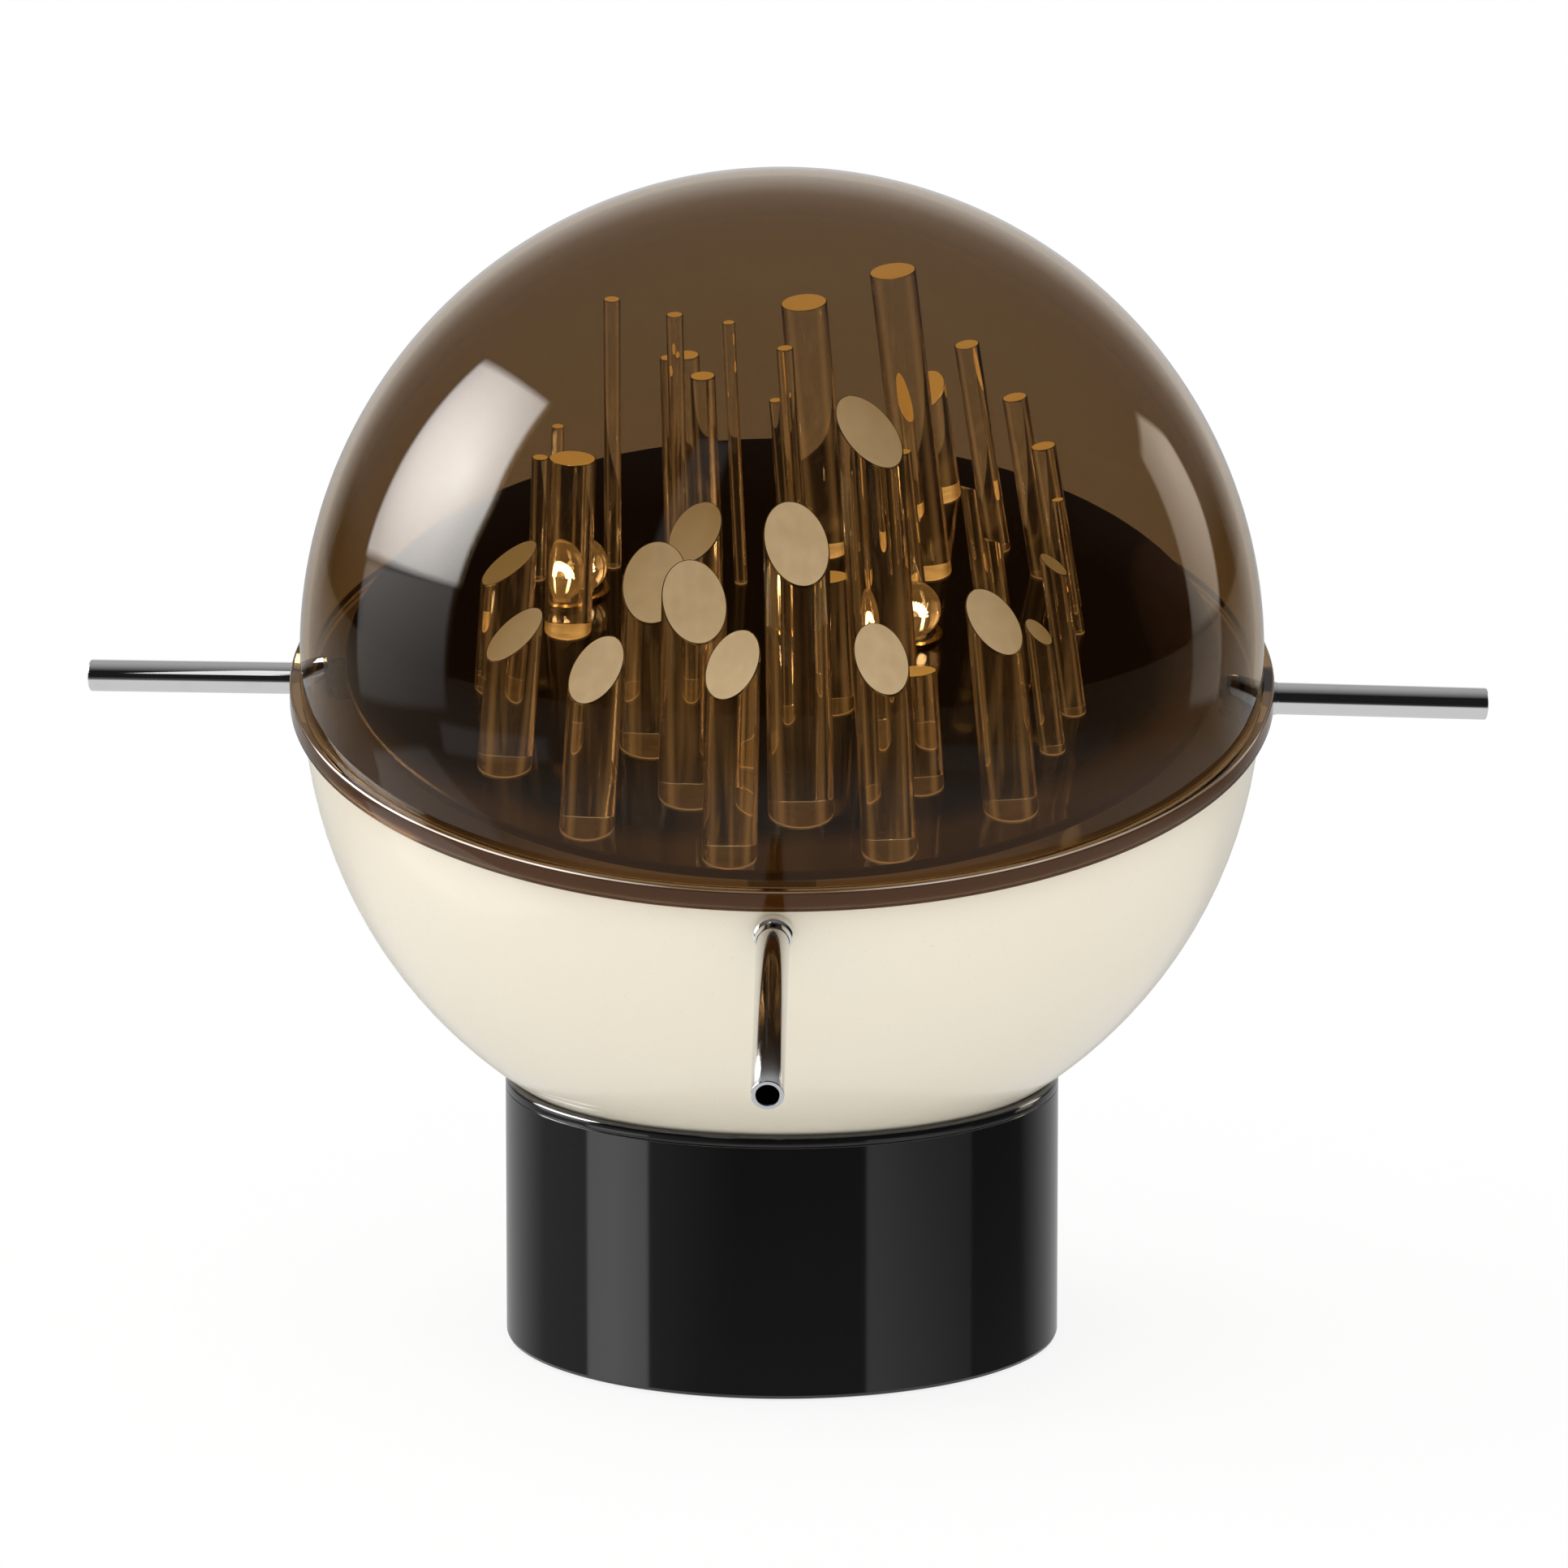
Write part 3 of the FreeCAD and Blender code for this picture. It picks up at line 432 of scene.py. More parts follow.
@dataclass(frozen=True)
class SmokeClear:
    """Clear smoke-brown acrylic.

    `colour` and `deep` are what one wall lets through, and `edge` where it is met edge on.
    """

    name: str
    colour: Colour
    deep: Colour
    edge: Colour
    bending: float

    def make(self) -> bpy.types.Material:
        """Make the material: clear brown, with faint smears in the polish.

        Returns:
            The material.
        """
        paint = Paint(self.name)
        flow = paint.noise(4.0, 2.0)
        smear = paint.patches(paint.noise(22.0, 4.0, 0.6, (1.0, 1.0, 0.4)), 0.6, 0.8)
        colour = paint.tint(flow, self.colour, self.deep)
        sockets = {
            "Base Color": paint.tint(paint.patches(paint.grazing(), 0.38, 0.6), colour, self.edge),
            "Roughness": smear * 0.01,
            "IOR": self.bending,
            "Transmission Weight": 1.0,
            "Normal": paint.relief(flow, 0.03 * MM),
        }
        veil = tuple(math.sqrt(part) for part in self.colour)
        return paint.done(paint.opened(paint.surface(sockets), veil))


@dataclass(frozen=True)
class LipPaintedHighlight:
    """Polished upper edge of the lip, with a painted highlight line that stands in for the lamps'
    reflection.
    """

    colour: Colour = (0.12, 0.07, 0.03)
    deep: Colour = (0.09, 0.05, 0.022)
    # Colour of the painted highlight line.
    light: Colour = (0.95, 0.92, 0.88)

    def make(self) -> bpy.types.Material:
        """Make the material: brown, with a painted highlight line that is strongest at the left and right
        front.

        Returns:
            The material.
        """
        paint = Paint("lip_polished_edge")
        # Painted highlight: the emission line is placed by position, strongest at the left and right front.
        across = paint.along(RIGHT)
        left = paint.patches(across * -1.0, 0.05, 0.1) * (1.0 - paint.patches(across * -1.0, 0.19, 0.222))
        right = paint.patches(across, 0.02, 0.06) * (1.0 - paint.patches(across, 0.1, 0.2)) * 0.4
        front = paint.patches(paint.along(FRONT), 0.0, 0.06)
        wave = 0.75 + paint.patches(paint.noise(30.0, 2.0), 0.35, 0.65) * 0.25
        sockets = {
            "Base Color": paint.tint(wave, self.deep, self.colour),
            "Roughness": 0.05 + wave * 0.05,
            "Emission Color": paint.tint((left + right + 0.06) * front * wave, DARK, self.light),
            "Emission Strength": 1.0,
        }
        return paint.done(paint.surface(sockets))


@dataclass(frozen=True)
class PlateBlack:
    """Brown-black gloss plate, with a painted tan reflection near its front edge and a tan rim band painted
    as its edge highlight.
    """

    centre: Vector
    radius: float
    colour: Colour = (0.028, 0.015, 0.0065)
    painted_front_reflection: Colour = (0.25, 0.165, 0.08)
    dust: Colour = (0.09, 0.07, 0.05)
    # Colour of the rim band painted as the edge highlight.
    edge: Colour = (0.22, 0.15, 0.085)

    def make(self) -> bpy.types.Material:
        """Make the material: clouded gloss, settled dust, a painted reflection near the front edge and a
        paler rim painted as a highlight.

        Returns:
            The material.
        """
        paint = Paint("dark_plate_gloss")
        cloud = paint.noise(12.0, 4.0)
        grain = paint.noise(900.0, 2.0)
        dust = paint.patches(paint.noise(420.0, 1.0), 0.72, 0.8)
        # Painted highlight: a tan band round the rim.
        rim = paint.patches(paint.distance(self.centre), self.radius - 1.0 * MM, self.radius - 0.5 * MM)
        # Painted reflection: a tan zone near the front edge of the plate.
        front = paint.patches(paint.along(FRONT), -0.02, 0.1)
        zone = paint.distance(self.centre + Vector((-0.012, 0.03, 0.0)))
        painted_front_reflection = paint.patches(zone, 0.196, 0.214) * front * (0.75 + paint.patches(cloud, 0.3, 0.7) * 0.25)
        colour = paint.tint(painted_front_reflection, self.colour, self.painted_front_reflection)
        colour = paint.tint(dust * 0.3, colour, self.dust)
        sockets = {
            "Base Color": paint.tint(rim, colour, self.edge),
            "Roughness": 0.06 + (cloud - 0.5) * 0.05 + (grain - 0.5) * 0.02 + rim * 0.2,
            "Specular IOR Level": 1.0,
            "Normal": paint.relief(grain, 0.003 * MM),
        }
        return paint.done(paint.surface(sockets))


@dataclass(frozen=True)
class RodClear:
    """Clear rod with a painted golden glow, strongest at its foot, that stands in for the light of the bulbs
    which it carries.
    """

    centre: Vector
    axis: Vector
    colour: Colour = (0.97, 0.93, 0.84)
    drawn: Colour = (0.95, 0.89, 0.78)
    veil: Colour = (0.98, 0.95, 0.88)
    edge: Colour = (0.36, 0.24, 0.13)
    # Colours and strengths of the painted golden glow and of the painted rim at the foot.
    golden: Colour = (1.0, 0.65, 0.29)
    bending: float = 1.45
    glow: float = 0.085
    rim: float = 1.2
    reach: float = 1.2 * MM

    def make(self) -> bpy.types.Material:
        """Make the material: clear and drawn lengthwise, with a painted glow low down and in streaks, a
        painted bright front rim at the foot, painted bright outlines and a brown tint where it is met edge
        on.

        Returns:
            The material.
        """
        paint = Paint("clear_rod_painted_glow")
        level = paint.along(self.axis) - self.centre.dot(self.axis)
        drawn = paint.noise(190.0, 2.0, 0.5, (1.0, 1.0, 0.03))
        near = 1.0 - paint.node("ShaderNodeNewGeometry", result="Backfacing")
        # Painted light: a bright rim on the near side of the foot, a golden glow low down and in streaks,
        # and bright outlines where the rod is met edge on.
        rim = (1.0 - paint.patches(level, 0.0, self.reach)) * near * self.rim
        low = 1.0 - paint.patches(level, 5.0 * MM, 110.0 * MM) * 0.8
        turned = paint.grazing()
        inner = paint.patches(turned, 0.12, 0.22) * (1.0 - paint.patches(turned, 0.28, 0.4)) * 0.8
        outline = paint.patches(turned, 0.86, 0.98).most(inner) * near
        streaks = 0.18 + paint.patches(drawn, 0.55, 0.66) * 1.5
        light = rim.most(low * streaks * self.glow).most(outline * (0.12 + low * 0.2))
        body = paint.tint(drawn, self.colour, self.drawn)
        sockets = {
            "Base Color": paint.tint(paint.patches(turned, 0.34, 0.52), body, self.edge),
            "Roughness": paint.patches(paint.noise(60.0, 3.0), 0.65, 0.85) * 0.02,
            "IOR": self.bending,
            "Transmission Weight": 1.0,
            "Emission Color": paint.tint(light, DARK, self.golden),
            "Emission Strength": 1.0,
            "Normal": paint.relief(drawn, 0.01 * MM),
        }
        return paint.done(paint.opened(paint.surface(sockets), self.veil))


@dataclass(frozen=True)
class FootPaintedGlow:
    """Polished underside of a rod, with a painted golden glow over the plate."""

    name: str
    golden: Colour
    strength: float
    ground: Colour = (0.1, 0.06, 0.025)
    deep: Colour = (0.07, 0.04, 0.015)

    def make(self) -> bpy.types.Material:
        """Make the material: a cloudy painted golden glow on a smooth, sawn ground.

        Returns:
            The material.
        """
        paint = Paint(self.name)
        cloud = paint.noise(140.0, 3.0)
        dim = tuple(0.6 * part for part in self.golden)
        sockets = {
            "Base Color": paint.tint(cloud, self.ground, self.deep),
            "Roughness": 0.5 + (cloud - 0.5) * 0.1,
            "IOR": 1.0,
            # Painted glow: the underside shines golden, though it is no lamp.
            "Emission Color": paint.tint(paint.patches(cloud, 0.3, 0.7), self.golden, dim),
            "Emission Strength": self.strength,
        }
        return paint.done(paint.surface(sockets))


class Cut(Enum):
    """How a rod's top is cut off: its pale and deep colours, then the dim and full colours of its painted
    glow.
    """

    SLANT = ((0.72, 0.66, 0.54), (0.6, 0.54, 0.43), (0.34, 0.265, 0.11), (1.68, 1.78, 1.72))
    SQUARE = ((0.75, 0.55, 0.26), (0.6, 0.4, 0.16), (0.85, 0.53, 0.14), (1.2, 0.8, 0.24))


@dataclass(frozen=True)
class SawnFace:
    """Frosted end of a rod with a painted glow: sand-coloured on the slants, and golden on the square cuts,
    where the gold is painted light from the bulbs too.
    """

    cut: Cut

    def make(self) -> bpy.types.Material:
        """Make the material: fine saw lines, cloudy frost and a painted glow, brighter towards the front and
        dimmer at the sides, that stands in for the light which the rod brings up.

        Returns:
            The material.
        """
        pale, deep, dim, lit = self.cut.value
        paint = Paint(self.cut.name.lower() + "_cut_face")
        lines = paint.noise(1900.0, 2.0, 0.5, (1.0, 0.07, 0.4))
        cloud = paint.noise(60.0, 4.0, 0.6)
        frost = paint.patches(cloud, 0.2, 0.8)
        # Painted light: the glow is brighter towards the front and dimmer at the sides, with painted
        # streaks.
        across = paint.along(RIGHT)
        aside = paint.patches(abs(across), 0.085, 0.13) * 0.25 + paint.patches(across, 0.02, 0.06) * 0.08
        painted_front_glow = paint.patches(paint.along(FRONT), 0.03, 0.24) - aside
        painted_glow_streak = paint.patches(paint.noise(150.0, 2.0, 0.5, (1.0, 1.0, 0.1)), 0.4, 0.75) * 0.2
        sockets = {
            "Base Color": paint.tint(frost, deep, pale),
            "Roughness": 0.42 + (lines - 0.5) * 0.2,
            "Emission Color": paint.tint((painted_front_glow * (0.85 + frost * 0.08 + painted_glow_streak)).held(), dim, lit),
            "Emission Strength": 1.0,
            "Normal": paint.relief(lines, 0.05 * MM),
        }
        return paint.done(paint.surface(sockets))


class Metal(Enum):
    """The bare metals of the lamp: colour, roughness, and how strongly the tool marks show."""

    CHROME = ((0.83, 0.83, 0.84), 0.035, 0.004)
    HANDLED_CHROME = ((0.7, 0.71, 0.73), 0.1, 0.004)
    STEEL = ((0.5, 0.5, 0.51), 0.28, 0.03)
    BRASS = ((0.72, 0.52, 0.24), 0.22, 0.02)
    CAP = ((0.68, 0.65, 0.6), 0.25, 0.02)


@dataclass(frozen=True)
class BareMetal:
    """A bare metal with turning marks, smears and a little tarnish."""

    metal: Metal

    def make(self) -> bpy.types.Material:
        """Make the material: turning marks under a cloudy tarnish.

        Returns:
            The material.
        """
        colour, roughness, marks = self.metal.value
        paint = Paint("bare_" + self.metal.name.lower())
        lines = paint.noise(1400.0, 2.0, 0.5, (1.0, 1.0, 0.25))
        cloud = paint.noise(40.0, 4.0, 0.6)
        tarnish = paint.patches(cloud, 0.55, 0.85)
        dark = tuple(0.62 * part for part in colour)
        sockets = {
            "Base Color": paint.tint(tarnish * 0.35, colour, dark),
            "Metallic": 1.0,
            "Roughness": roughness + tarnish * roughness + (lines - 0.5) * roughness * 0.5,
            "Normal": paint.relief(lines, marks * MM),
        }
        return paint.done(paint.surface(sockets))


class Cover(Enum):
    """The plain moulded and woven stuffs: colour, roughness, bump size per metre, bump depth in mm."""

    FELT = ((0.018, 0.018, 0.02), 0.95, 2600.0, 0.35)
    RUBBER = ((0.014, 0.014, 0.014), 0.6, 1200.0, 0.04)
    HOLDER = ((0.02, 0.014, 0.01), 0.32, 700.0, 0.02)
    BLOCK = ((0.55, 0.53, 0.47), 0.45, 800.0, 0.03)
    LEAD = ((0.13, 0.095, 0.06), 0.7, 3200.0, 0.12)


@dataclass(frozen=True)
class PlainCover:
    """Felt, rubber, moulded holder, terminal block or the leads' woven cover."""

    cover: Cover

    def make(self) -> bpy.types.Material:
        """Make the material: a fine grain and cloudy wear, with a sheen on the felt.

        Returns:
            The material.
        """
        colour, roughness, cells, depth = self.cover.value
        paint = Paint(self.cover.name.lower() + "_cover")
        fine = paint.noise(cells, 2.0, 0.6)
        cloud = paint.noise(35.0, 4.0)
        pale = tuple(min(1.0, 1.9 * part + 0.01) for part in colour)
        sockets = {
            "Base Color": paint.tint(paint.patches(fine * 0.6 + cloud * 0.4, 0.35, 0.75), colour, pale),
            "Roughness": roughness + (cloud - 0.5) * 0.15,
            "Normal": paint.relief(fine, depth * MM),
        }
        if self.cover is Cover.FELT:
            sockets["Sheen Weight"] = 0.5
        return paint.done(paint.surface(sockets))


@dataclass(frozen=True)
class BulbGlass:
    """Clear bulb glass with a faint painted golden glow of its own."""

    clear: Colour = (1.0, 0.97, 0.9)
    blown: Colour = (0.98, 0.93, 0.84)
    golden: Colour = (1.0, 0.6, 0.2)
    pale: Colour = (1.0, 0.7, 0.32)
    veil: Colour = (0.98, 0.95, 0.88)
    glow: float = 0.09

    def make(self) -> bpy.types.Material:
        """Make the material: thin clear glass with slight streaks of the blowing, and a painted glow.

        Returns:
            The material.
        """
        paint = Paint("bulb_glass_golden")
        cloud = paint.noise(70.0, 3.0)
        sockets = {
            "Base Color": paint.tint(cloud, self.clear, self.blown),
            "Roughness": paint.patches(cloud, 0.6, 0.9) * 0.02,
            "IOR": 1.5,
            "Transmission Weight": 1.0,
            # Painted glow on the glass itself; only the filament is a lamp.
            "Emission Color": paint.tint(cloud, self.golden, self.pale),
            "Emission Strength": self.glow,
        }
        return paint.done(paint.opened(paint.surface(sockets), self.veil))


@dataclass(frozen=True)
class GlowWire:
    """Burning filament wire on its darker posts."""

    centre: Vector
    metal: Colour = (0.3, 0.28, 0.26)
    colour: Colour = (1.0, 0.84, 0.56)
    strength: float = 22.0

    def make(self) -> bpy.types.Material:
        """Make the material: brightest in the middle of the coil.

        Returns:
            The material.
        """
        paint = Paint("burning_wire")
        heat = 1.0 - paint.patches(paint.distance(self.centre), 3.0 * MM, 5.0 * MM)
        turn = paint.noise(2500.0, 1.0)
        sockets = {
            "Base Color": self.metal,
            "Metallic": 1.0,
            "Roughness": 0.35 + (turn - 0.5) * 0.2,
            "Emission Color": paint.tint(heat, DARK, self.colour),
            "Emission Strength": self.strength,
        }
        return paint.done(paint.surface(sockets))


# Frames and shapes.


@dataclass(frozen=True)
class Stance:
    """Where the ball stands in its seat and how far it leans."""

    pivot: float = 311.5653 * MM
    tilt: float = 13.5
    lean: float = 4.5
    plate_level: float = 20.5 * MM

    def ball(self) -> Matrix:
        """Return the frame of the bowl and dome."""
        return Matrix.Translation((0, 0, self.pivot)) @ Matrix.Rotation(math.radians(self.tilt), 4, "X")

    def deck(self) -> Matrix:
        """Return the frame of the plate and stem."""
        return self.ball() @ Matrix.Rotation(math.radians(self.lean), 4, "X")

    def deck_top(self) -> Matrix:
        """Return the frame on top of the plate."""
        return self.deck() @ Matrix.Translation((0, 0, self.plate_level))

    def tube(self, bearing: float, drop: float) -> Matrix:
        """Return the frame whose Z runs out along a handle tube.

        Args:
            bearing: The tube's bearing from the front, to the right.
            drop: How far it drops below the rim's plane.

        Returns:
            The frame.
        """
        turn = Matrix.Rotation(math.radians(bearing), 4, "Z")
        return self.ball() @ turn @ Matrix.Rotation(math.radians(90 + drop), 4, "X")


def cap(radius: float, reach: float) -> float:
    """Return the height over its centre at which a ball of that radius has the radius `reach`."""
    return math.sqrt(radius * radius - reach * reach)


def arc(radius: float, level: float, first: float, last: float, steps: int) -> list[Point]:
    """Return points of a circle about the axis.

    Args:
        radius: Its radius.
        level: The height of its centre.
        first: The angle of the first point, from the equator up.
        last: The angle of the last point.
        steps: The number of runs between them.

    Returns:
        Radius and height of each point.
    """
    points = []
    for step in range(steps + 1):
        angle = math.radians(first + (last - first) * step / steps)
        points.append((max(0.0, radius * math.cos(angle)), level + radius * math.sin(angle)))
    return points


def circle(radius: float, sides: int) -> list[Point]:
    """List the points of a circle round the origin.

    Args:
        radius: Its radius.
        sides: The number of steps round it.

    Returns:
        The points in turn.
    """
    angles = [2 * math.pi * step / sides for step in range(sides)]
    return [(radius * math.cos(angle), radius * math.sin(angle)) for angle in angles]


def softened(corners: Sequence[Triple], steps: int = 5) -> list[Point]:
    """Round the corners of a closed outline.

    Args:
        corners: Radius, height and rounding of each corner; 0 keeps it sharp.
        steps: The number of runs in each rounding.

    Returns:
        The outline's points.
    """
    points: list[Point] = []
    count = len(corners)
    for index, (across, up, rounding) in enumerate(corners):
        here = Vector((across, up))
        before = Vector(corners[index - 1][:2]) - here
        after = Vector(corners[(index + 1) % count][:2]) - here
        if rounding <= 0 or before.length < 1e-9 or after.length < 1e-9:
            points.append((across, up))
            continue
        half = before.angle(after) / 2
        reach = min(rounding / math.tan(half), 0.49 * before.length, 0.49 * after.length)
        radius = reach * math.tan(half)
        middle = here + (before.normalized() + after.normalized()).normalized() * (radius / math.sin(half))
        first = here + before.normalized() * reach - middle
        last = here + after.normalized() * reach - middle
        for step in range(steps + 1):
            share = step / steps
            spoke = first.slerp(last, share) if first.angle(last) > 1e-6 else first
            points.append(tuple(middle + spoke.normalized() * radius))
    return points


class Mould:
    """Vertices and faces of one piece while it is being shaped."""

    def __init__(self) -> None:
        """Start empty."""
        self.points: list[Vector] = []
        self.faces: list[tuple[int, ...]] = []
        self.slots: list[int] = []

    def ring(self, points: Sequence[Vector]) -> list[int]:
        """Add points.

        Args:
            points: The points in turn.

        Returns:
            Their numbers.
        """
        first = len(self.points)
        self.points.extend(points)
        return list(range(first, first + len(points)))

    def band(self, low: Sequence[int], high: Sequence[int], slot: int = 0) -> None:
        """Join two rings by faces; a ring of one point closes the other to a cone.

        Args:
            low: The first ring.
            high: The second ring.
            slot: The material slot of the faces.
        """
        count = max(len(low), len(high))
        if count == 1:
            return
        for step in range(count):
            follow = (step + 1) % count
            corners = [low[step % len(low)], low[follow % len(low)]]
            corners += [high[follow % len(high)], high[step % len(high)]]
            unique = tuple(dict.fromkeys(corners))
            if len(unique) > 2:
                self.faces.append(unique)
                self.slots.append(slot)

    def turn(
        self, section: Sequence[Point], frame: Matrix, segments: int, slots: Sequence[int] = ()
    ) -> None:
        """Add a closed section turned about the Z axis of a frame.

        Args:
            section: Radius and height of the outline's points.
            frame: The frame.
            segments: The number of steps round the axis.
            slots: The material slots of the first bands; the others take the first slot.
        """
        rings = []
        for radius, height in section:
            if radius < 1e-7:
                rings.append(self.ring([frame @ Vector((0, 0, height))]))
                continue
            rings.append(self.ring([frame @ Vector((x, y, height)) for x, y in circle(radius, segments)]))
        for index, ring in enumerate(rings):
            slot = slots[index] if index < len(slots) else 0
            self.band(ring, rings[(index + 1) % len(rings)], slot)

    def sweep(self, path: Sequence[Vector], radius: float, sides: int = 8) -> None:
        """Add a round wire along a path.

        Args:
            path: The points of its middle line.
            radius: The wire's radius.
            sides: The number of steps round it.
        """
        side = (path[1] - path[0]).orthogonal().normalized()
        before: Optional[list[int]] = None
        for index, spot in enumerate(path):
            ahead = path[min(index + 1, len(path) - 1)] - path[max(index - 1, 0)]
            side = (side - ahead * (side.dot(ahead) / ahead.length_squared)).normalized()
            other = ahead.normalized().cross(side)
            ring = self.ring([spot + (side * x + other * y) * radius for x, y in circle(1.0, sides)])
            if before is None:
                self.band(self.ring([spot]), ring)
            else:
                self.band(before, ring)
            before = ring
        self.band(before, self.ring([path[-1]]))

    def piece(self, name: str, crease: float = 32.0) -> bpy.types.Object:
        """Turn it into an object with smooth faces.

        Args:
            name: The piece's name.
            crease: Edges sharper than this angle stay sharp.

        Returns:
            The object.
        """
        mesh = bpy.data.meshes.new(name)
        mesh.from_pydata([tuple(point) for point in self.points], [], self.faces)
        mesh.polygons.foreach_set("material_index", self.slots)
        tool = bmesh.new()
        tool.from_mesh(mesh)
        bmesh.ops.recalc_face_normals(tool, faces=tool.faces)
        tool.to_mesh(mesh)
        tool.free()
        mesh.shade_smooth()
        mesh.set_sharp_from_angle(angle=math.radians(crease))
        piece = bpy.data.objects.new(name, mesh)
        bpy.context.scene.collection.objects.link(piece)
        return piece


# Putting pieces on the lamp.


class Bench:
    """Where the pieces are put onto the frame and dressed."""

    def __init__(self, nodes: Mapping[str, bpy.types.Object]) -> None:
        """Keep the frame's nodes, and note that none is dressed yet."""
        self.nodes = nodes
        self.dressed: set[str] = set()

    def keep(self, material: bpy.types.Material, *names: str) -> None:
        """Keep nodes as they are and give them a finish.

        Args:
            material: The finish.
            names: The nodes.
        """
        for name in names:
            slots = self.nodes[name].data.materials
            for index in range(len(slots)):
                slots[index] = material
            self.dressed.add(name)
            LOG.info("kept %s in %s", name, material.name)

    def put(
        self,
        piece: bpy.types.Object,
        body: str,
        slot: str,
        materials: Sequence[bpy.types.Material],
        *names: str,
    ) -> None:
        """Put a finer piece in the place of nodes.

        Args:
            piece: The piece.
            body: The body that it rides on.
            slot: The material slot of the record; not used.
            materials: Its finishes.
            names: The nodes that it stands for.
        """
        for material in materials:
            piece.data.materials.append(material)
        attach(piece, body)
        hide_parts(*names)
        self.dressed.update(names)
        LOG.info("made %s on %s for %s", piece.name, body, ", ".join(names))

    def check(self) -> None:
        """Stop if a node has no finish."""
        bare = sorted(set(self.nodes) - self.dressed)
        if bare:
            raise RuntimeError("no finish on " + ", ".join(bare))


# The sub-assemblies.


@dataclass
class Base:
    """The cylinder that the ball sits on, with its floor, felt and cord bush."""

    radius: float = 130.0 * MM
    edge: float = SEAT_EDGE
    foot: float = 121.2 * MM
    top: float = 126.0 * MM
    seat_inner: float = 112.0 * MM
    seat_radius: float = 224.3 * MM
    spigot: float = 125.6 * MM
    spigot_low: float = 108.0 * MM

    def seat_ring(self, stance: Stance) -> bpy.types.Object:
        """Return the seat ring with finely rounded edges.

        Args:
            stance: The lamp's stance.

        Returns:
            The piece.
        """
        corners = [
            (self.seat_inner, self.spigot_low, 0.8 * MM),
            (self.spigot, self.spigot_low, 1.0 * MM),
            (self.spigot, self.foot, 0.0),
            (self.radius, self.foot, 0.35 * MM),
            (self.radius, self.top, 1.7 * MM),
            (self.edge, self.top, 0.35 * MM),
        ]
        low = math.degrees(math.asin(self.seat_inner / self.seat_radius))
        high = math.degrees(math.asin(self.edge / self.seat_radius))
        seat = arc(self.seat_radius, stance.pivot, high - 90.4, low - 90, 12)
        section = softened(corners + [(across, up, 0.0) for across, up in seat])
        mould = Mould()
        mould.turn(section, Matrix.Identity(4), 192)
        return mould.piece("seat_ring_polished")

    def build(self, bench: Bench, stance: Stance) -> None:
        """Dress the base and lay the seat ring.

        Args:
            bench: Where the pieces are put on.
            stance: The lamp's stance.
        """
        bench.keep(BlackLacquer().make(), "base_shell")
        bench.keep(BareMetal(Metal.STEEL).make(), "floor_plate", "floor_screws")
        bench.keep(PlainCover(Cover.FELT).make(), "felt_pad")
        bench.keep(PlainCover(Cover.RUBBER).make(), "cable_grommet")
        bench.put(self.seat_ring(stance), "seat", "black_rim", [RimGloss().make()], "seat_ring")


@dataclass
class Shells:
    """The two halves of the ball."""

    radius: float = 225.0 * MM
    inside: float = DOME_INSIDE
    rise: float = DOME_RISE
    rim: float = 3.4 * MM
    lip_inner: float = 224.6 * MM
    lip_outer: float = 230.0 * MM
    lip_top: float = 5.6 * MM
    lip_low: float = -4.6 * MM

    def dome(self, stance: Stance) -> bpy.types.Object:
        """Return the dome with its rounded lip.

        Args:
            stance: The lamp's stance.

        Returns:
            The piece.
        """
        corners = [
            (self.inside, self.rim, 0.3 * MM),
            (self.lip_inner, self.rim, 0.3 * MM),
            (self.lip_inner, self.lip_low, 0.3 * MM),
            (self.lip_outer, self.lip_low, 0.7 * MM),
            (self.lip_outer, self.lip_top, 1.5 * MM),
            (self.radius, self.lip_top, 1.6 * MM),
        ]
        lip = softened(corners, 6)
        slots = [1] * (len(lip) - 1)
        slots[30:32] = [2] * 2
        section = lip + arc(self.radius, self.rise, 0, 90, 56) + arc(self.inside, self.rise, 90, 0, 56)
        mould = Mould()
        mould.turn(section, stance.ball(), 192, slots)
        return mould.piece("dome_shell", 50.0)

    def build(self, bench: Bench, stance: Stance) -> None:
        """Dress the bowl and put the dome on.

        Args:
            bench: Where the pieces are put on.
            stance: The lamp's stance.
        """
        bench.keep(IvoryGloss(stance.ball().translation, BOWL_INSIDE).make(), "bowl")
        brown, deep, edge = (0.335, 0.25, 0.158), (0.315, 0.232, 0.142), (0.315, 0.205, 0.095)
        wall = SmokeClear("smoke_brown_clear", brown, deep, edge, 1.25).make()
        brown, deep, edge = (0.25, 0.148, 0.066), (0.215, 0.125, 0.053), (0.17, 0.095, 0.04)
        lip = SmokeClear("smoke_brown_lip", brown, deep, edge, 1.4).make()
        bench.put(self.dome(stance), "dome", "smoke_clear", [wall, lip, LipPaintedHighlight().make()], "dome")


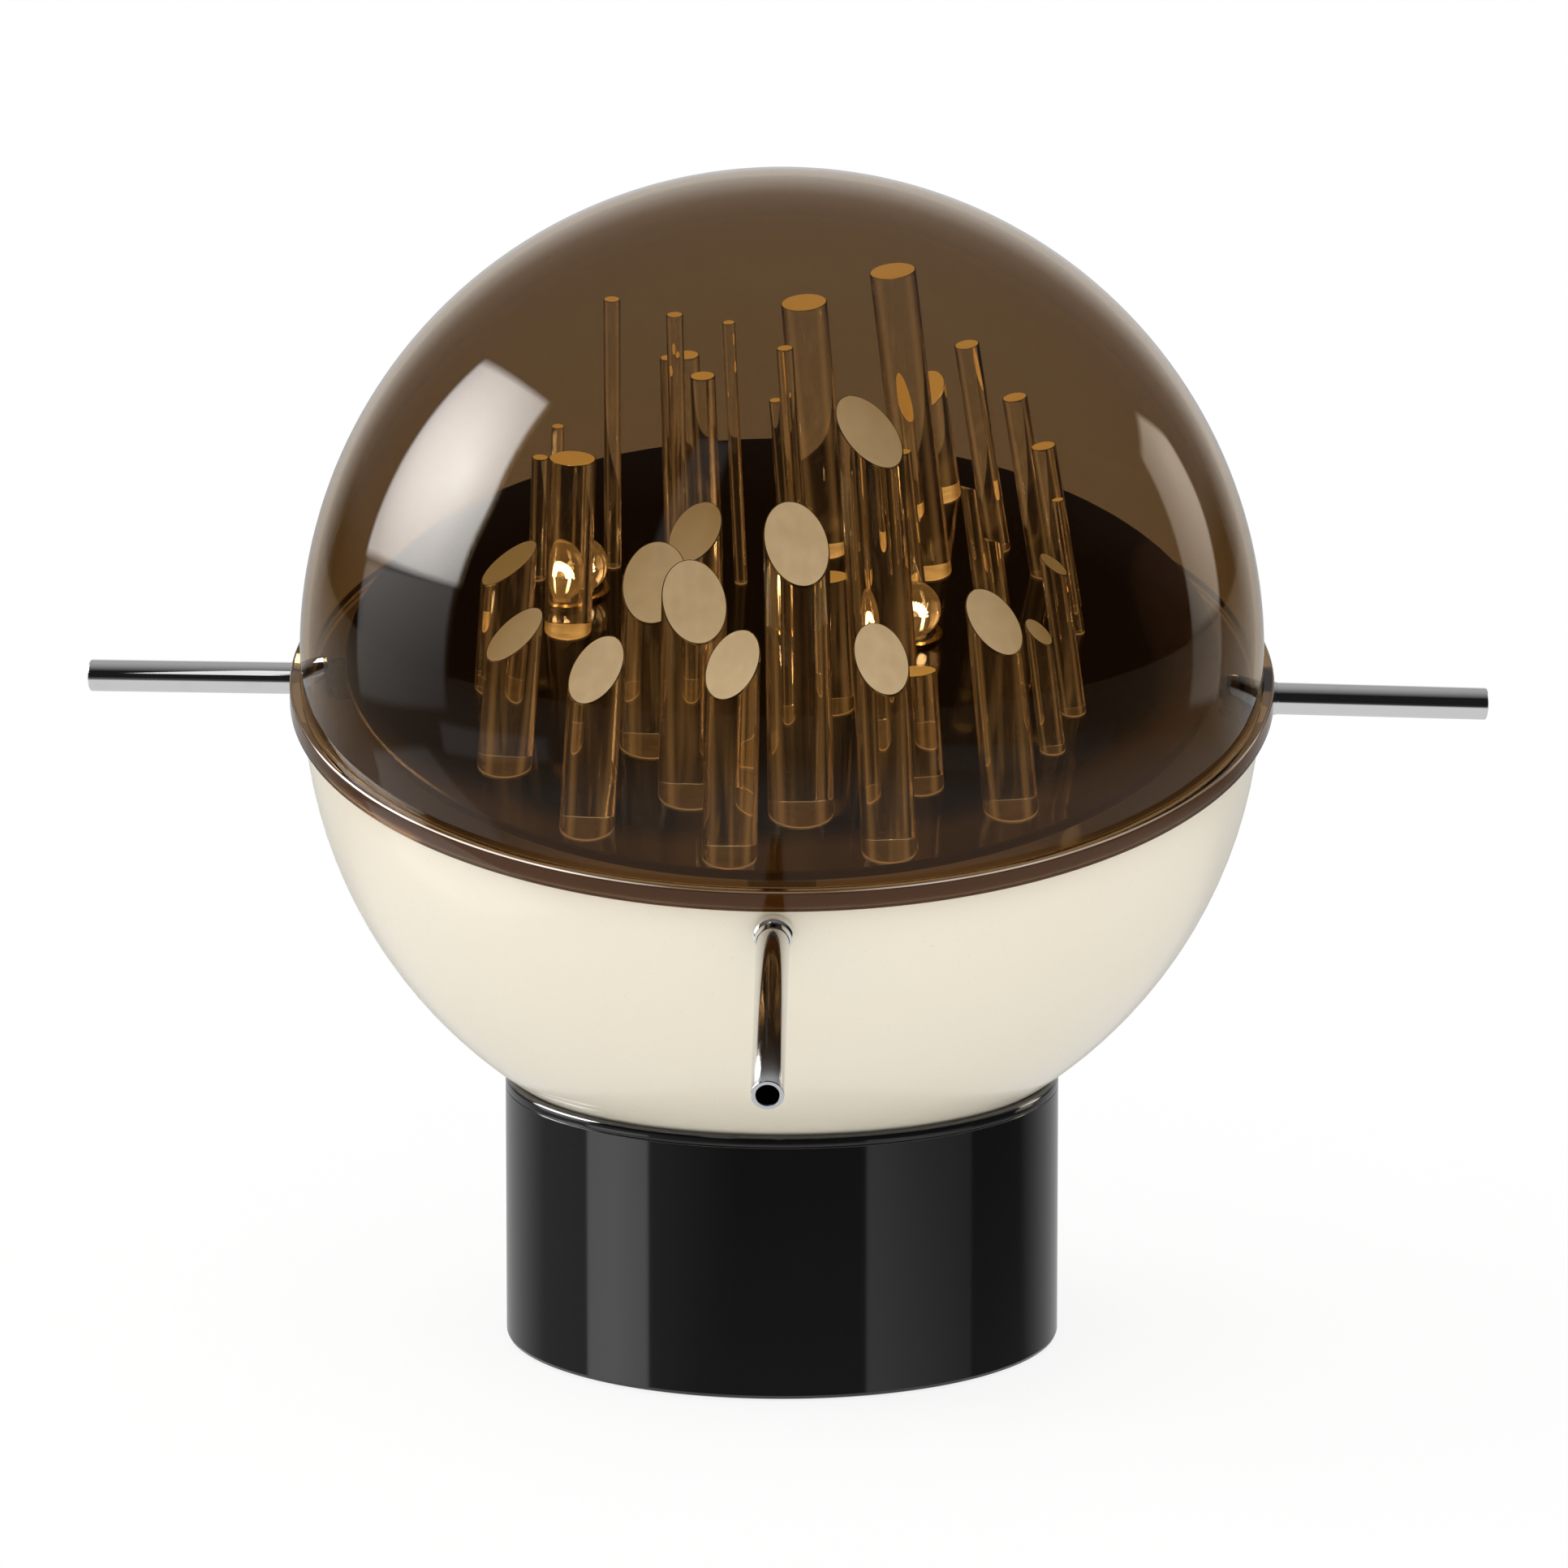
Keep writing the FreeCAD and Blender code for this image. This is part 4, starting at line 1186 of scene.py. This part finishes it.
@dataclass
class HandleTubes:
    """The three open chromed tubes with their collars, washers and nuts.

    `tubes` are their sides, their bearings from the front and how far they stand out of the bowl.
    """

    bowl_outer: float = 224.0 * MM
    bowl_inner: float = BOWL_INSIDE
    tube_radius: float = 7.5 * MM
    bore: float = 5.3 * MM
    shank: float = 5.0 * MM
    solid: float = 14.0 * MM
    drop: float = 4.4
    tail: float = 13.0 * MM
    hole_clearance: float = 0.3 * MM
    washer: float = 9.0 * MM
    collar: float = 9.3 * MM
    collar_height: float = 7.0 * MM
    collar_web: float = 2.0 * MM
    collar_clearance: float = 0.1 * MM
    step_height: float = 3.4 * MM
    tubes: tuple[tuple[str, float, float], ...] = (
        ("front", -1.0, 142.0 * MM),
        ("left", -101.3, 110.0 * MM),
        ("right", 95.8, 110.0 * MM),
    )

    def tube(self, name: str, frame: Matrix, reach: float) -> bpy.types.Object:
        """Return one tube with rounded mouth and deep bore.

        Args:
            name: The piece's name.
            frame: The tube's frame.
            reach: How far it stands out of the bowl.

        Returns:
            The piece.
        """
        start = cap(self.bowl_outer, self.shank + self.hole_clearance) + self.collar_web
        root = cap(self.bowl_inner, self.washer) - self.tail
        end = self.bowl_outer + reach
        corners = [
            (0.0, root, 0.0),
            (self.shank, root, 0.7 * MM),
            (self.shank, start, 0.0),
            (self.tube_radius, start, 0.2 * MM),
            (self.tube_radius, end, 0.65 * MM),
            (self.bore, end, 0.45 * MM),
            (self.bore, start + self.solid + 2 * MM, 0.3 * MM),
            (0.0, start + self.solid, 0.0),
        ]
        mould = Mould()
        mould.turn(softened(corners), frame, 72)
        return mould.piece(name)

    def collars(self, frames: Sequence[Matrix]) -> bpy.types.Object:
        """Return the three collars where the tubes meet the bowl.

        Args:
            frames: The tubes' frames.

        Returns:
            The piece.
        """
        seat = cap(self.bowl_outer, self.shank + self.hole_clearance)
        rise = seat + self.collar_height
        well = self.tube_radius + self.collar_clearance
        hole = self.shank + self.collar_clearance
        corners = [
            (hole, seat, 0.0),
            (self.collar - 1.2 * MM, seat, 0.2 * MM),
            (self.collar, seat + 1.4 * MM, 0.8 * MM),
            (self.collar, rise - 1.4 * MM, 0.8 * MM),
            (self.collar - 0.9 * MM, rise, 0.6 * MM),
            (self.collar - 1.1 * MM, rise, 0.0),
            (self.collar - 1.5 * MM, rise + 2.6 * MM, 0.4 * MM),
            (well, rise + self.step_height, 0.1 * MM),
            (well, seat + self.collar_web, 0.0),
            (hole, seat + self.collar_web, 0.0),
        ]
        mould = Mould()
        for frame in frames:
            mould.turn(softened(corners), frame, 72)
        return mould.piece("tube_collars_rounded")

    def build(self, bench: Bench, stance: Stance) -> None:
        """Put the tubes and collars on, and dress the washers and nuts.

        Args:
            bench: Where the pieces are put on.
            stance: The lamp's stance.
        """
        chrome = BareMetal(Metal.CHROME).make()
        handled = BareMetal(Metal.HANDLED_CHROME).make()
        frames = []
        for side, bearing, reach in self.tubes:
            frames.append(stance.tube(bearing, self.drop))
            tube = self.tube("tube_%s_polished" % side, frames[-1], reach)
            bench.put(tube, "ball", "chrome", [handled if side == "front" else chrome], "tube_" + side)
        bench.put(self.collars(frames), "ball", "chrome", [chrome], "tube_collars")
        bench.keep(PlainCover(Cover.RUBBER).make(), "tube_washers")
        bench.keep(BareMetal(Metal.STEEL).make(), "tube_nuts")


@dataclass
class PlateAndStem:
    """The plate under the rods, its stem, and what hangs below it."""

    radius: float = PLATE_RADIUS

    def build(self, bench: Bench, stance: Stance) -> None:
        """Dress the plate, the stem, the holders, the block and the leads.

        Args:
            bench: Where the pieces are put on.
            stance: The lamp's stance.
        """
        top = stance.deck_top()
        plate = PlateBlack(top.translation.copy(), self.radius)
        steel = BareMetal(Metal.STEEL).make()
        brass = BareMetal(Metal.BRASS).make()
        bench.keep(plate.make(), "rod_plate")
        bench.keep(steel, "plate_stem", "stem_bolt", "plate_screws")
        bench.keep(PlainCover(Cover.HOLDER).make(), "lamp_holder_left", "lamp_holder_right")
        bench.keep(brass, "holder_rings", "block_screws")
        bench.keep(PlainCover(Cover.BLOCK).make(), "terminal_block")
        bench.keep(PlainCover(Cover.LEAD).make(), "lamp_lead_left", "lamp_lead_right")


@dataclass
class Bulbs:
    """The two small round bulbs with a coiled filament each.

    `places` are their sides, and how far to the right and back they stand, in percent of the plate's
    radius. A filament's posts start at `post_foot` and run by `post_run`, across and up in millimetres.
    """

    plate: float = PLATE_RADIUS
    globe: float = 13.3 * MM
    rise: float = 14.0 * MM
    wall: float = 0.7 * MM
    neck: float = 6.1 * MM
    span: float = 2.3 * MM
    arch: float = 2.4 * MM
    coil: float = 0.8 * MM
    turns: int = 14
    wire: float = 0.2 * MM
    post: float = 0.3 * MM
    post_foot: Point = (0.96, -7.4)
    post_run: Point = (1.3, 5.9)
    places: tuple[tuple[str, float, float], ...] = (("left", -46.6, 26.5), ("right", 29.9, 5.4))

    def glass(self, name: str, frame: Matrix) -> bpy.types.Object:
        """Return the blown globe with its neck and the pressed mount inside.

        Args:
            name: The piece's name.
            frame: The frame on the plate under the bulb.

        Returns:
            The piece.
        """
        inner_globe = self.globe - self.wall
        inner_neck = self.neck - self.wall
        low = math.degrees(math.acos(self.neck / self.globe))
        inner_low = math.degrees(math.acos(inner_neck / inner_globe))
        outline = [(0.0, -1.9 * MM), (self.neck, -1.9 * MM)]
        outline += arc(self.globe, self.rise, -low, 90, 30)
        outline += arc(inner_globe, self.rise, 90, -inner_low, 30)
        outline += [(inner_neck, -1.0 * MM), (2.4 * MM, -1.0 * MM), (2.3 * MM, 2.5 * MM)]
        outline += [(1.7 * MM, self.rise - 8.0 * MM), (1.3 * MM, self.rise - 7.1 * MM)]
        outline += [(0.0, self.rise - 7 * MM)]
        mould = Mould()
        mould.turn(outline, frame, 64)
        return mould.piece(name, 40.0)

    def filament(self, name: str, frame: Matrix) -> bpy.types.Object:
        """Return the coil and its two posts.

        Args:
            name: The piece's name.
            frame: The frame on the plate under the bulb.

        Returns:
            The piece.
        """
        steps = self.turns * 12
        coil = []
        for step in range(steps + 1):
            share = step / steps
            way = math.pi * (1 - share)
            turn = 2 * math.pi * self.turns * share
            reach = self.coil * math.cos(turn)
            across = (self.span + reach) * math.cos(way)
            up = self.rise - 1.5 * MM + (self.arch + reach) * math.sin(way)
            coil.append(frame @ Vector((across, self.coil * math.sin(turn), up)))
        mould = Mould()
        mould.sweep(coil, self.wire, 6)
        for side in (-1, 1):
            post = []
            for step in range(7):
                share = step / 6
                lean = side * (self.post_foot[0] + self.post_run[0] * share) * MM
                up = (self.post_foot[1] + self.post_run[1] * share) * MM
                post.append(frame @ Vector((lean, 0, self.rise + up)))
            mould.sweep(post, self.post, 10)
        return mould.piece(name)

    def build(self, bench: Bench, stance: Stance) -> None:
        """Put both bulbs in their holders.

        Args:
            bench: Where the pieces are put on.
            stance: The lamp's stance.
        """
        cap_metal = BareMetal(Metal.CAP).make()
        glass = BulbGlass().make()
        for side, across, back in self.places:
            foot = (self.plate * across / 100, self.plate * back / 100, 0)
            frame = stance.deck_top() @ Matrix.Translation(foot)
            body = "bulb_" + side
            wire = GlowWire(frame @ Vector((0, 0, self.rise))).make()
            bench.keep(cap_metal, "bulb_cap_" + side)
            globe = self.glass("bulb_globe_" + side, frame)
            bench.put(globe, body, "bulb_glass", [glass], "bulb_glass_" + side)
            coil = self.filament("burning_coil_" + side, frame)
            bench.put(coil, body, "filament", [wire], "filament_" + side)


@dataclass(frozen=True)
class Rod:
    """One rod: its place on the plate, its height and its cut.

    `share` is its reach in percent of the plate's radius, `bearing` its bearing from the front,
    `height` its height in percent of the dome's ceiling over it, and `faces` where a slant cut looks.
    `glows` tells that its foot stands near a bulb.
    """

    share: float
    bearing: float
    height: float
    faces: Optional[float] = None
    glows: bool = False


@dataclass(frozen=True)
class RodFamily:
    """Rods of one thickness; `single` families have one node for each rod."""

    node: str
    radius: float
    single: bool
    rods: tuple[Rod, ...]


@dataclass(frozen=True)
class RodStand:
    """How one rod stands in the frame on top of the plate.

    `across` and `back` are the middle of its foot, and `lean_x` and `lean_y` how far it moves for each
    metre up. Its cut falls by `fall` towards `heading` from the height `top` at its middle. `sides`
    is the number of steps round it.
    """

    frame: Matrix
    across: float
    back: float
    lean_x: float
    lean_y: float
    top: float
    heading: float
    fall: float
    sides: int

    def spot(self, x: float, y: float, height: float) -> Vector:
        """Return the point at that height, `x` and `y` away from the rod's middle line."""
        across, back = self.across + x + self.lean_x * height, self.back + y + self.lean_y * height
        return self.frame @ Vector((across, back, height))

    def ring(self, size: float, lift: float, share: float) -> list[Vector]:
        """Find a ring of points round the rod.

        Args:
            size: Its radius.
            lift: Its height over the foot (share 0) or over the cut (share 1).
            share: How much of the way up to the cut it is.

        Returns:
            The points in turn.
        """
        points = []
        for x, y in circle(size, self.sides):
            down = self.fall * (x * math.cos(self.heading) + y * math.sin(self.heading))
            points.append(self.spot(x, y, lift + share * (self.top - down)))
        return points


@dataclass
class RodField:
    """The field of leaning clear rods, cut off at a slant or square."""

    plate: float = PLATE_RADIUS
    ceiling: float = DOME_INSIDE
    rise: float = DOME_RISE
    slant: float = 33.5
    lean_height: float = 1250.0 * MM
    lean_across: float = -56.0 * MM
    lean_back: float = 230.0 * MM
    swirl: float = 0.28
    bevel: float = 0.55 * MM
    glue: float = 0.12 * MM

    def families(self) -> tuple[RodFamily, ...]:
        """List all rods by thickness, as the CAD has them.

        Returns:
            The families.
        """
        return (
            RodFamily("broad_rod", 15.0 * MM, True, (
                Rod(52.7, -33.9, 38.8, -8.5), Rod(69.5, -17.0, 51.68, 15),
                Rod(74.5, 3.3, 75.4, 19), Rod(46.0, 31.6, 70.23, 51),
            )),
            RodFamily("cut_rod", 12.5 * MM, True, (
                Rod(66.1, -74.6, 33.6, -88), Rod(82.0, -49.4, 41.76, -72),
                Rod(91.5, -28.3, 59.63, -37.7), Rod(26.6, -47.0, 34.54, -38.5),
                Rod(93.9, -7.1, 76.92, -32.6), Rod(93.6, 14.7, 76.23, 22),
                Rod(88.9, 35.1, 67.04, 43), Rod(81.4, 153.9, 36.1, -60, True),
            )),
            RodFamily("mid_rod", 11.0 * MM, True, (
                Rod(47.4, 167.7, 63.42, None, True), Rod(49.4, 136.7, 76.9, None, True),
                Rod(49.8, -99.6, 42.89, None, True),
                Rod(28.8, 23.2, 28.49), Rod(69.6, 26.4, 30.73),
            )),
            RodFamily("slim_rods", 6.0 * MM, False, (
                Rod(68.4, 132.9, 61.06), Rod(69.5, 119.6, 52.87), Rod(68.9, 106.5, 46.63),
                Rod(53.1, -157.4, 50.19), Rod(44.4, -158.0, 46.42),
                Rod(76.7, 52.6, 35.14, 68), Rod(72.2, 66.0, 42.28, 87),
            )),
            RodFamily("thin_rods", 4.0 * MM, False, (
                Rod(54.7, -134.3, 70.88), Rod(34.5, -137.6, 66.28), Rod(46.5, -147.4, 52.45),
                Rod(32.7, 172.3, 54.98), Rod(51.4, 115.4, 28.88, 150), Rod(51.6, 98.2, 23.09, 145),
                Rod(37.2, 121.8, 36.79), Rod(65.2, -119.7, 34.71),
            )),
            RodFamily("fine_rods", 3.0 * MM, False, (
                Rod(31.8, -162.7, 61.79), Rod(52.9, 179.1, 36.11),
                Rod(71.8, -133.1, 36.43), Rod(68.3, 95.8, 38.11),
            )),
        )

    def stand(self, rod: Rod, radius: float, stance: Stance) -> RodStand:
        """Work out where a rod stands, how it leans and how its cut falls.

        Args:
            rod: The rod.
            radius: Its radius.
            stance: The lamp's stance.

        Returns:
            How it stands.
        """
        reach = self.plate * rod.share / 100
        bearing = math.radians(rod.bearing)
        across, back = reach * math.sin(bearing), -reach * math.cos(bearing)
        top = (cap(self.ceiling, reach) + self.rise - stance.plate_level) * rod.height / 100
        lean_x = (self.lean_across - self.swirl * back - across) / self.lean_height
        lean_y = (self.lean_back - back) / self.lean_height
        if rod.faces is None:
            heading = math.atan2(lean_y, lean_x)
            slope = along = math.hypot(lean_x, lean_y)
        else:
            heading = math.radians(rod.faces - 90)
            along = lean_x * math.cos(heading) + lean_y * math.sin(heading)
            slope = math.tan(math.radians(self.slant))
        fall = slope / (1 + slope * along)
        sides = 96 if radius > 8 * MM else 48
        return RodStand(stance.deck_top(), across, back, lean_x, lean_y, top, heading, fall, sides)

    def shape(self, mould: Mould, rod: Rod, radius: float, stance: Stance) -> None:
        """Add one rod with a polished barrel, rounded edges and its cut face.

        Args:
            mould: The piece that it is part of.
            rod: The rod.
            radius: Its radius.
            stance: The lamp's stance.
        """
        stand = self.stand(rod, radius, stance)
        bevel = min(self.bevel, radius * 0.12)
        turns = [math.radians(22.5 * step) for step in range(5)]
        foot = mould.ring([stand.spot(0.0, 0.0, self.glue)])
        tip = mould.ring([stand.spot(0.0, 0.0, stand.top)])
        rings = []
        for turn in turns:
            size, lift = radius - bevel * (1 - math.sin(turn)), self.glue + bevel * (1 - math.cos(turn))
            rings.append(mould.ring(stand.ring(size, lift, 0.0)))
        for turn in turns:
            size, lift = radius - bevel * (1 - math.cos(turn)), -bevel * (1 - math.sin(turn))
            rings.append(mould.ring(stand.ring(size, lift, 1.0)))
        inner = mould.ring(stand.ring((radius - bevel) * 0.55, 0.0, 1.0))
        # Rods by a bulb take the bright painted foot glow and the golden square face.
        under = 4 if rod.glows else 3
        mould.band(foot, rings[0], under)
        for index in range(len(rings) - 1):
            mould.band(rings[index], rings[index + 1])
        face = 2 if rod.faces is None or rod.glows else 1
        mould.band(rings[-1], inner, face)
        mould.band(inner, tip, face)

    def build(self, bench: Bench, stance: Stance) -> None:
        """Stand all rods on the plate.

        Args:
            bench: Where the pieces are put on.
            stance: The lamp's stance.
        """
        frame = stance.deck_top()
        clear = RodClear(frame.translation.copy(), frame.to_3x3() @ UP).make()
        dim_foot = FootPaintedGlow("dim_painted_foot_glow", (0.9, 0.58, 0.24), 0.2)
        bright_foot = FootPaintedGlow("bright_painted_foot_glow", (1.0, 0.68, 0.27), 1.7)
        materials = [clear, SawnFace(Cut.SLANT).make(), SawnFace(Cut.SQUARE).make()]
        materials += [dim_foot.make(), bright_foot.make()]
        for family in self.families():
            groups = [(rod,) for rod in family.rods] if family.single else [family.rods]
            for number, group in enumerate(groups, 1):
                node = "%s_%d" % (family.node, number) if family.single else family.node
                mould = Mould()
                for rod in group:
                    self.shape(mould, rod, family.radius, stance)
                bench.put(mould.piece(node + "_cut", 28.0), "ball", "clear_rod", materials, node)


# The studio.


def bearing_ray(azimuth: float, elevation: float) -> Vector:
    """Turn two angles into a direction.

    Args:
        azimuth: Counted from the front to the right.
        elevation: Counted up from the horizon.

    Returns:
        The direction, one long.
    """
    turn, lift = math.radians(azimuth), math.radians(elevation)
    return Vector((math.sin(turn) * math.cos(lift), -math.cos(turn) * math.cos(lift), math.sin(lift)))


@dataclass(frozen=True)
class Softbox:
    """A rectangular lamp that looks at the dome and isn't seen itself.

    `azimuth` is counted from the front to the right, and `level` is its radiance, where 1 is
    white.
    """

    name: str
    azimuth: float
    elevation: float
    distance: float
    width: float
    height: float
    level: float
    colour: Colour = WHITE

    def build(self, target: Vector) -> None:
        """Hang the lamp.

        Args:
            target: The point that it looks at.
        """
        lamp = bpy.data.lights.new(self.name, "AREA")
        lamp.shape = "RECTANGLE"
        lamp.size, lamp.size_y = self.width, self.height
        lamp.energy = self.level * math.pi * self.width * self.height
        lamp.color = self.colour
        ray = bearing_ray(self.azimuth, self.elevation)
        holder = bpy.data.objects.new(self.name, lamp)
        facing = ray.to_track_quat("Z", "Y").to_matrix().to_4x4()
        holder.matrix_world = Matrix.Translation(target + ray * self.distance) @ facing
        holder.visible_camera = False
        holder.visible_glossy = False
        holder.visible_transmission = False
        bpy.context.scene.collection.objects.link(holder)
        LOG.info("hung %s", self.name)


@dataclass(frozen=True)
class Panel:
    """A lit panel far off, which only reflections show.

    `corners` are the directions of its corners in turn, as azimuth and elevation. The light is
    strongest round `hot` and falls to the share `far` at `spread` from it.
    """

    corners: tuple[Point, ...]
    level: float
    hot: Optional[Point] = None
    spread: float = 0.5
    far: float = 1.0
    soft: float = 0.012
    warm: bool = False

    def light(self, paint: Paint, looking: Signal) -> Signal:
        """Work out the light that comes from the panel.

        Args:
            paint: The surroundings' shader.
            looking: The direction looked in.

        Returns:
            The radiance.
        """
        rays = [bearing_ray(*corner) for corner in self.corners]
        middle = sum(rays, Vector((0.0, 0.0, 0.0)))
        share: Optional[Signal] = None
        for index, ray in enumerate(rays):
            edge = ray.cross(rays[(index + 1) % len(rays)]).normalized()
            if edge.dot(middle) < 0:
                edge.negate()
            sockets = {"Vector": looking, "Vector_001": tuple(edge)}
            inside = paint.node("ShaderNodeVectorMath", {"operation": "DOT_PRODUCT"}, sockets, "Value")
            inside = paint.patches(inside, -self.soft, self.soft)
            share = inside if share is None else share * inside
        if self.hot is None:
            return share * self.level
        sockets = {"Vector": looking, "Vector_001": tuple(bearing_ray(*self.hot))}
        away = paint.node("ShaderNodeVectorMath", {"operation": "DISTANCE"}, sockets, "Value")
        fall = 1.0 - paint.patches(away, 0.0, self.spread) * (1.0 - self.far)
        return share * fall * self.level


@dataclass
class Studio:
    """White floor, soft lamps, plain surroundings and the camera."""

    floor_radius: float = 5.0
    floor_colour: Colour = (0.9, 0.9, 0.895)
    camera_distance: float = 6.0
    camera_elevation: float = 12.3
    lens: float = 294.2
    aim: Triple = (0.00095, 0.0, 0.2643)
    lit_point: Triple = (0.0, 0.0, 0.33)
    warm_light: Colour = (1.0, 0.88, 0.72)
    ambient: float = 0.95
    softboxes: tuple[Softbox, ...] = (
        Softbox("left_softbox", -100.0, 28.0, 1.8, 1.2, 1.0, 1.6, (1.0, 0.99, 0.97)),
        Softbox("high_front", 12.0, 50.0, 2.4, 1.8, 1.2, 1.45, (1.0, 0.99, 0.97)),
    )

    def floor(self) -> None:
        """Lay the floor: it keeps the shadow and runs out into white."""
        mould = Mould()
        rings = [mould.ring([Vector((0, 0, 0))])]
        for share in (0.1, 0.25, 0.5, 1.0):
            radius = self.floor_radius * share
            rings.append(mould.ring([Vector((x, y, 0)) for x, y in circle(radius, 96)]))
        for index in range(len(rings) - 1):
            mould.band(rings[index], rings[index + 1])
        piece = mould.piece("studio_floor")
        if piece.data.polygons[0].normal.z < 0:
            piece.data.flip_normals()
        paint = Paint("studio_floor_white")
        far = 0.84 + paint.patches(paint.distance(Vector((0, 0, 0))), 0.16, 0.75) * 0.16
        seen = paint.ray("Is Camera Ray").most(paint.ray("Is Transmission Ray"))
        cloud = paint.noise(1.5, 2.0)
        pale = tuple(1.02 * part for part in self.floor_colour)
        sockets = {
            "Base Color": paint.tint(cloud, self.floor_colour, pale),
            "Roughness": 0.6 + (cloud - 0.5) * 0.1,
        }
        matt = paint.surface(sockets)
        white = paint.node("ShaderNodeEmission", None, {"Color": WHITE, "Strength": 1.0})
        piece.data.materials.append(paint.done(paint.swapped(far * seen, matt, white)))
        piece.visible_glossy = False

    def panels(self) -> tuple[Panel, ...]:
        """List what the polished pieces mirror.

        Returns:
            The tall softboxes at the left and right with the lower panels under them, a dim patch
            lower still at the left, a narrow panel in front, and the two that the base mirrors.
        """
        left = ((-131.5, 30.9), (-99.2, 45.7), (-88.2, 26.8), (-87.6, 11.8), (-124.4, 4.6))
        lower_left = ((-123.3, 4.0), (-88.3, 11.5), (-86.4, -9.6), (-119.9, -11.3))
        low_patch = (
            (-118.0, -18.0), (-95.0, -16.5), (-84.7, -25.5), (-66.0, -42.0), (-90.0, -40.0), (-118.0, -27.0),
        )
        right = (
            (131.0, 20.5), (135.5, 14.0), (134.5, 6.0), (130.0, -3.0), (115.0, -3.0), (116.5, 7.0),
            (120.5, 20.0),
        )
        lower_right = ((130.0, -3.0), (127.5, -12.0), (113.5, -12.0), (115.0, -3.0))
        tube_light = ((-36.0, 26.0), (-36.0, 60.0), (-22.0, 60.0), (-22.0, 26.0))
        base_left = ((-89.0, -12.0), (-57.5, -12.0), (-57.5, -17.0), (-89.0, -17.0))
        base_right = ((35.4, -12.0), (86.0, -12.0), (86.0, -17.0), (35.4, -17.0))
        return (
            Panel(left, 31.5, (-102.0, 27.0), 0.47, 0.22),
            Panel(lower_left, 5.2, (-104.0, 40.0), 0.95, 0.04),
            Panel(low_patch, 0.7),
            Panel(right, 4.9, (130.0, 14.0), 0.45, 0.16, warm=True),
            Panel(lower_right, 0.8, warm=True),
            Panel(tube_light, 0.9),
            Panel(base_left, 0.86, (-74.0, -14.5), 0.3, 0.8),
            Panel(base_right, 0.38, (35.4, -14.5), 0.8, 0.3),
        )

    def surroundings(self) -> None:
        """Set the world.

        It is white behind the lamp. Reflections show a pale ceiling, a pale floor, a dark room in
        front and the panels.
        """
        world = bpy.data.worlds.new("studio_surroundings")
        world.use_nodes = True
        bpy.context.scene.world = world
        paint = Paint("studio_surroundings", world.node_tree)
        looking = paint.node("ShaderNodeTexCoord", result="Generated")
        right, back, up = (
            paint.node("ShaderNodeSeparateXYZ", None, {"Vector": looking}, axis) for axis in "XYZ"
        )
        ceiling = ((up + back * 0.8 - 0.2) * 0.38).most(0.0) * paint.patches(up, 0.0, 0.1)
        floor = paint.patches(up * -1.0, 0.24, 0.42) * 0.66
        low = paint.patches(up * -1.0, 0.05, 0.15)
        aside = paint.patches(right * -1.0, 0.3, 0.95)
        wall = paint.patches(back, 0.8, 0.95) * (1.0 - low) * 0.75
        wall = wall + low * (paint.patches(back, 0.45, 1.0) * 0.5 + aside * 0.15 + 0.02)
        panels = self.panels()
        warm = sum((panel.light(paint, looking) for panel in panels if panel.warm), 0.0)
        lit = sum((panel.light(paint, looking) for panel in panels if not panel.warm), 0.0)
        mirrored = ceiling.most(floor).most(wall) + 0.012 + lit + warm
        through = paint.patches(back, 0.8, 0.93).most(ceiling * 0.4) + lit * 0.7
        camera, clear = paint.ray("Is Camera Ray"), paint.ray("Is Transmission Ray")
        glossy = paint.ray("Is Glossy Ray")
        level = self.ambient + glossy * (mirrored - self.ambient)
        level = level + clear * (through - level)
        level = level + camera * (1.0 - level)
        colour = paint.tint(warm.held() * glossy, WHITE, self.warm_light)
        shader = paint.node("ShaderNodeBackground", None, {"Color": colour, "Strength": level})
        paint.node("ShaderNodeOutputWorld", None, {"Surface": shader})

    def camera(self) -> None:
        """Stand the camera where the photograph was taken."""
        target = Vector(self.aim)
        ray = bearing_ray(0.0, self.camera_elevation)
        lens = bpy.data.cameras.new("studio_camera")
        lens.lens = self.lens
        lens.sensor_width = 36.0
        lens.sensor_fit = "AUTO"
        lens.clip_end = 60.0
        camera = bpy.data.objects.new("studio_camera", lens)
        camera.location = target + ray * self.camera_distance
        camera.rotation_euler = ray.to_track_quat("Z", "Y").to_euler()
        bpy.context.scene.collection.objects.link(camera)
        bpy.context.scene.camera = camera

    def build(self) -> None:
        """Set up the whole studio."""
        self.camera()
        self.floor()
        self.surroundings()
        for softbox in self.softboxes:
            softbox.build(Vector(self.lit_point))
        bpy.context.scene.view_settings.view_transform = "Standard"


def main() -> None:
    """Dress the lamp and set up the studio."""
    logging.basicConfig(level=logging.INFO, format="%(name)s: %(message)s")
    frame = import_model()
    bench = Bench(frame["nodes"])
    stance = Stance()
    for part in (Base(), Shells(), HandleTubes(), PlateAndStem(), Bulbs(), RodField()):
        part.build(bench, stance)
        LOG.info("%s is on", type(part).__name__)
    bench.check()
    Studio().build()


if __name__ == "__main__":
    main()
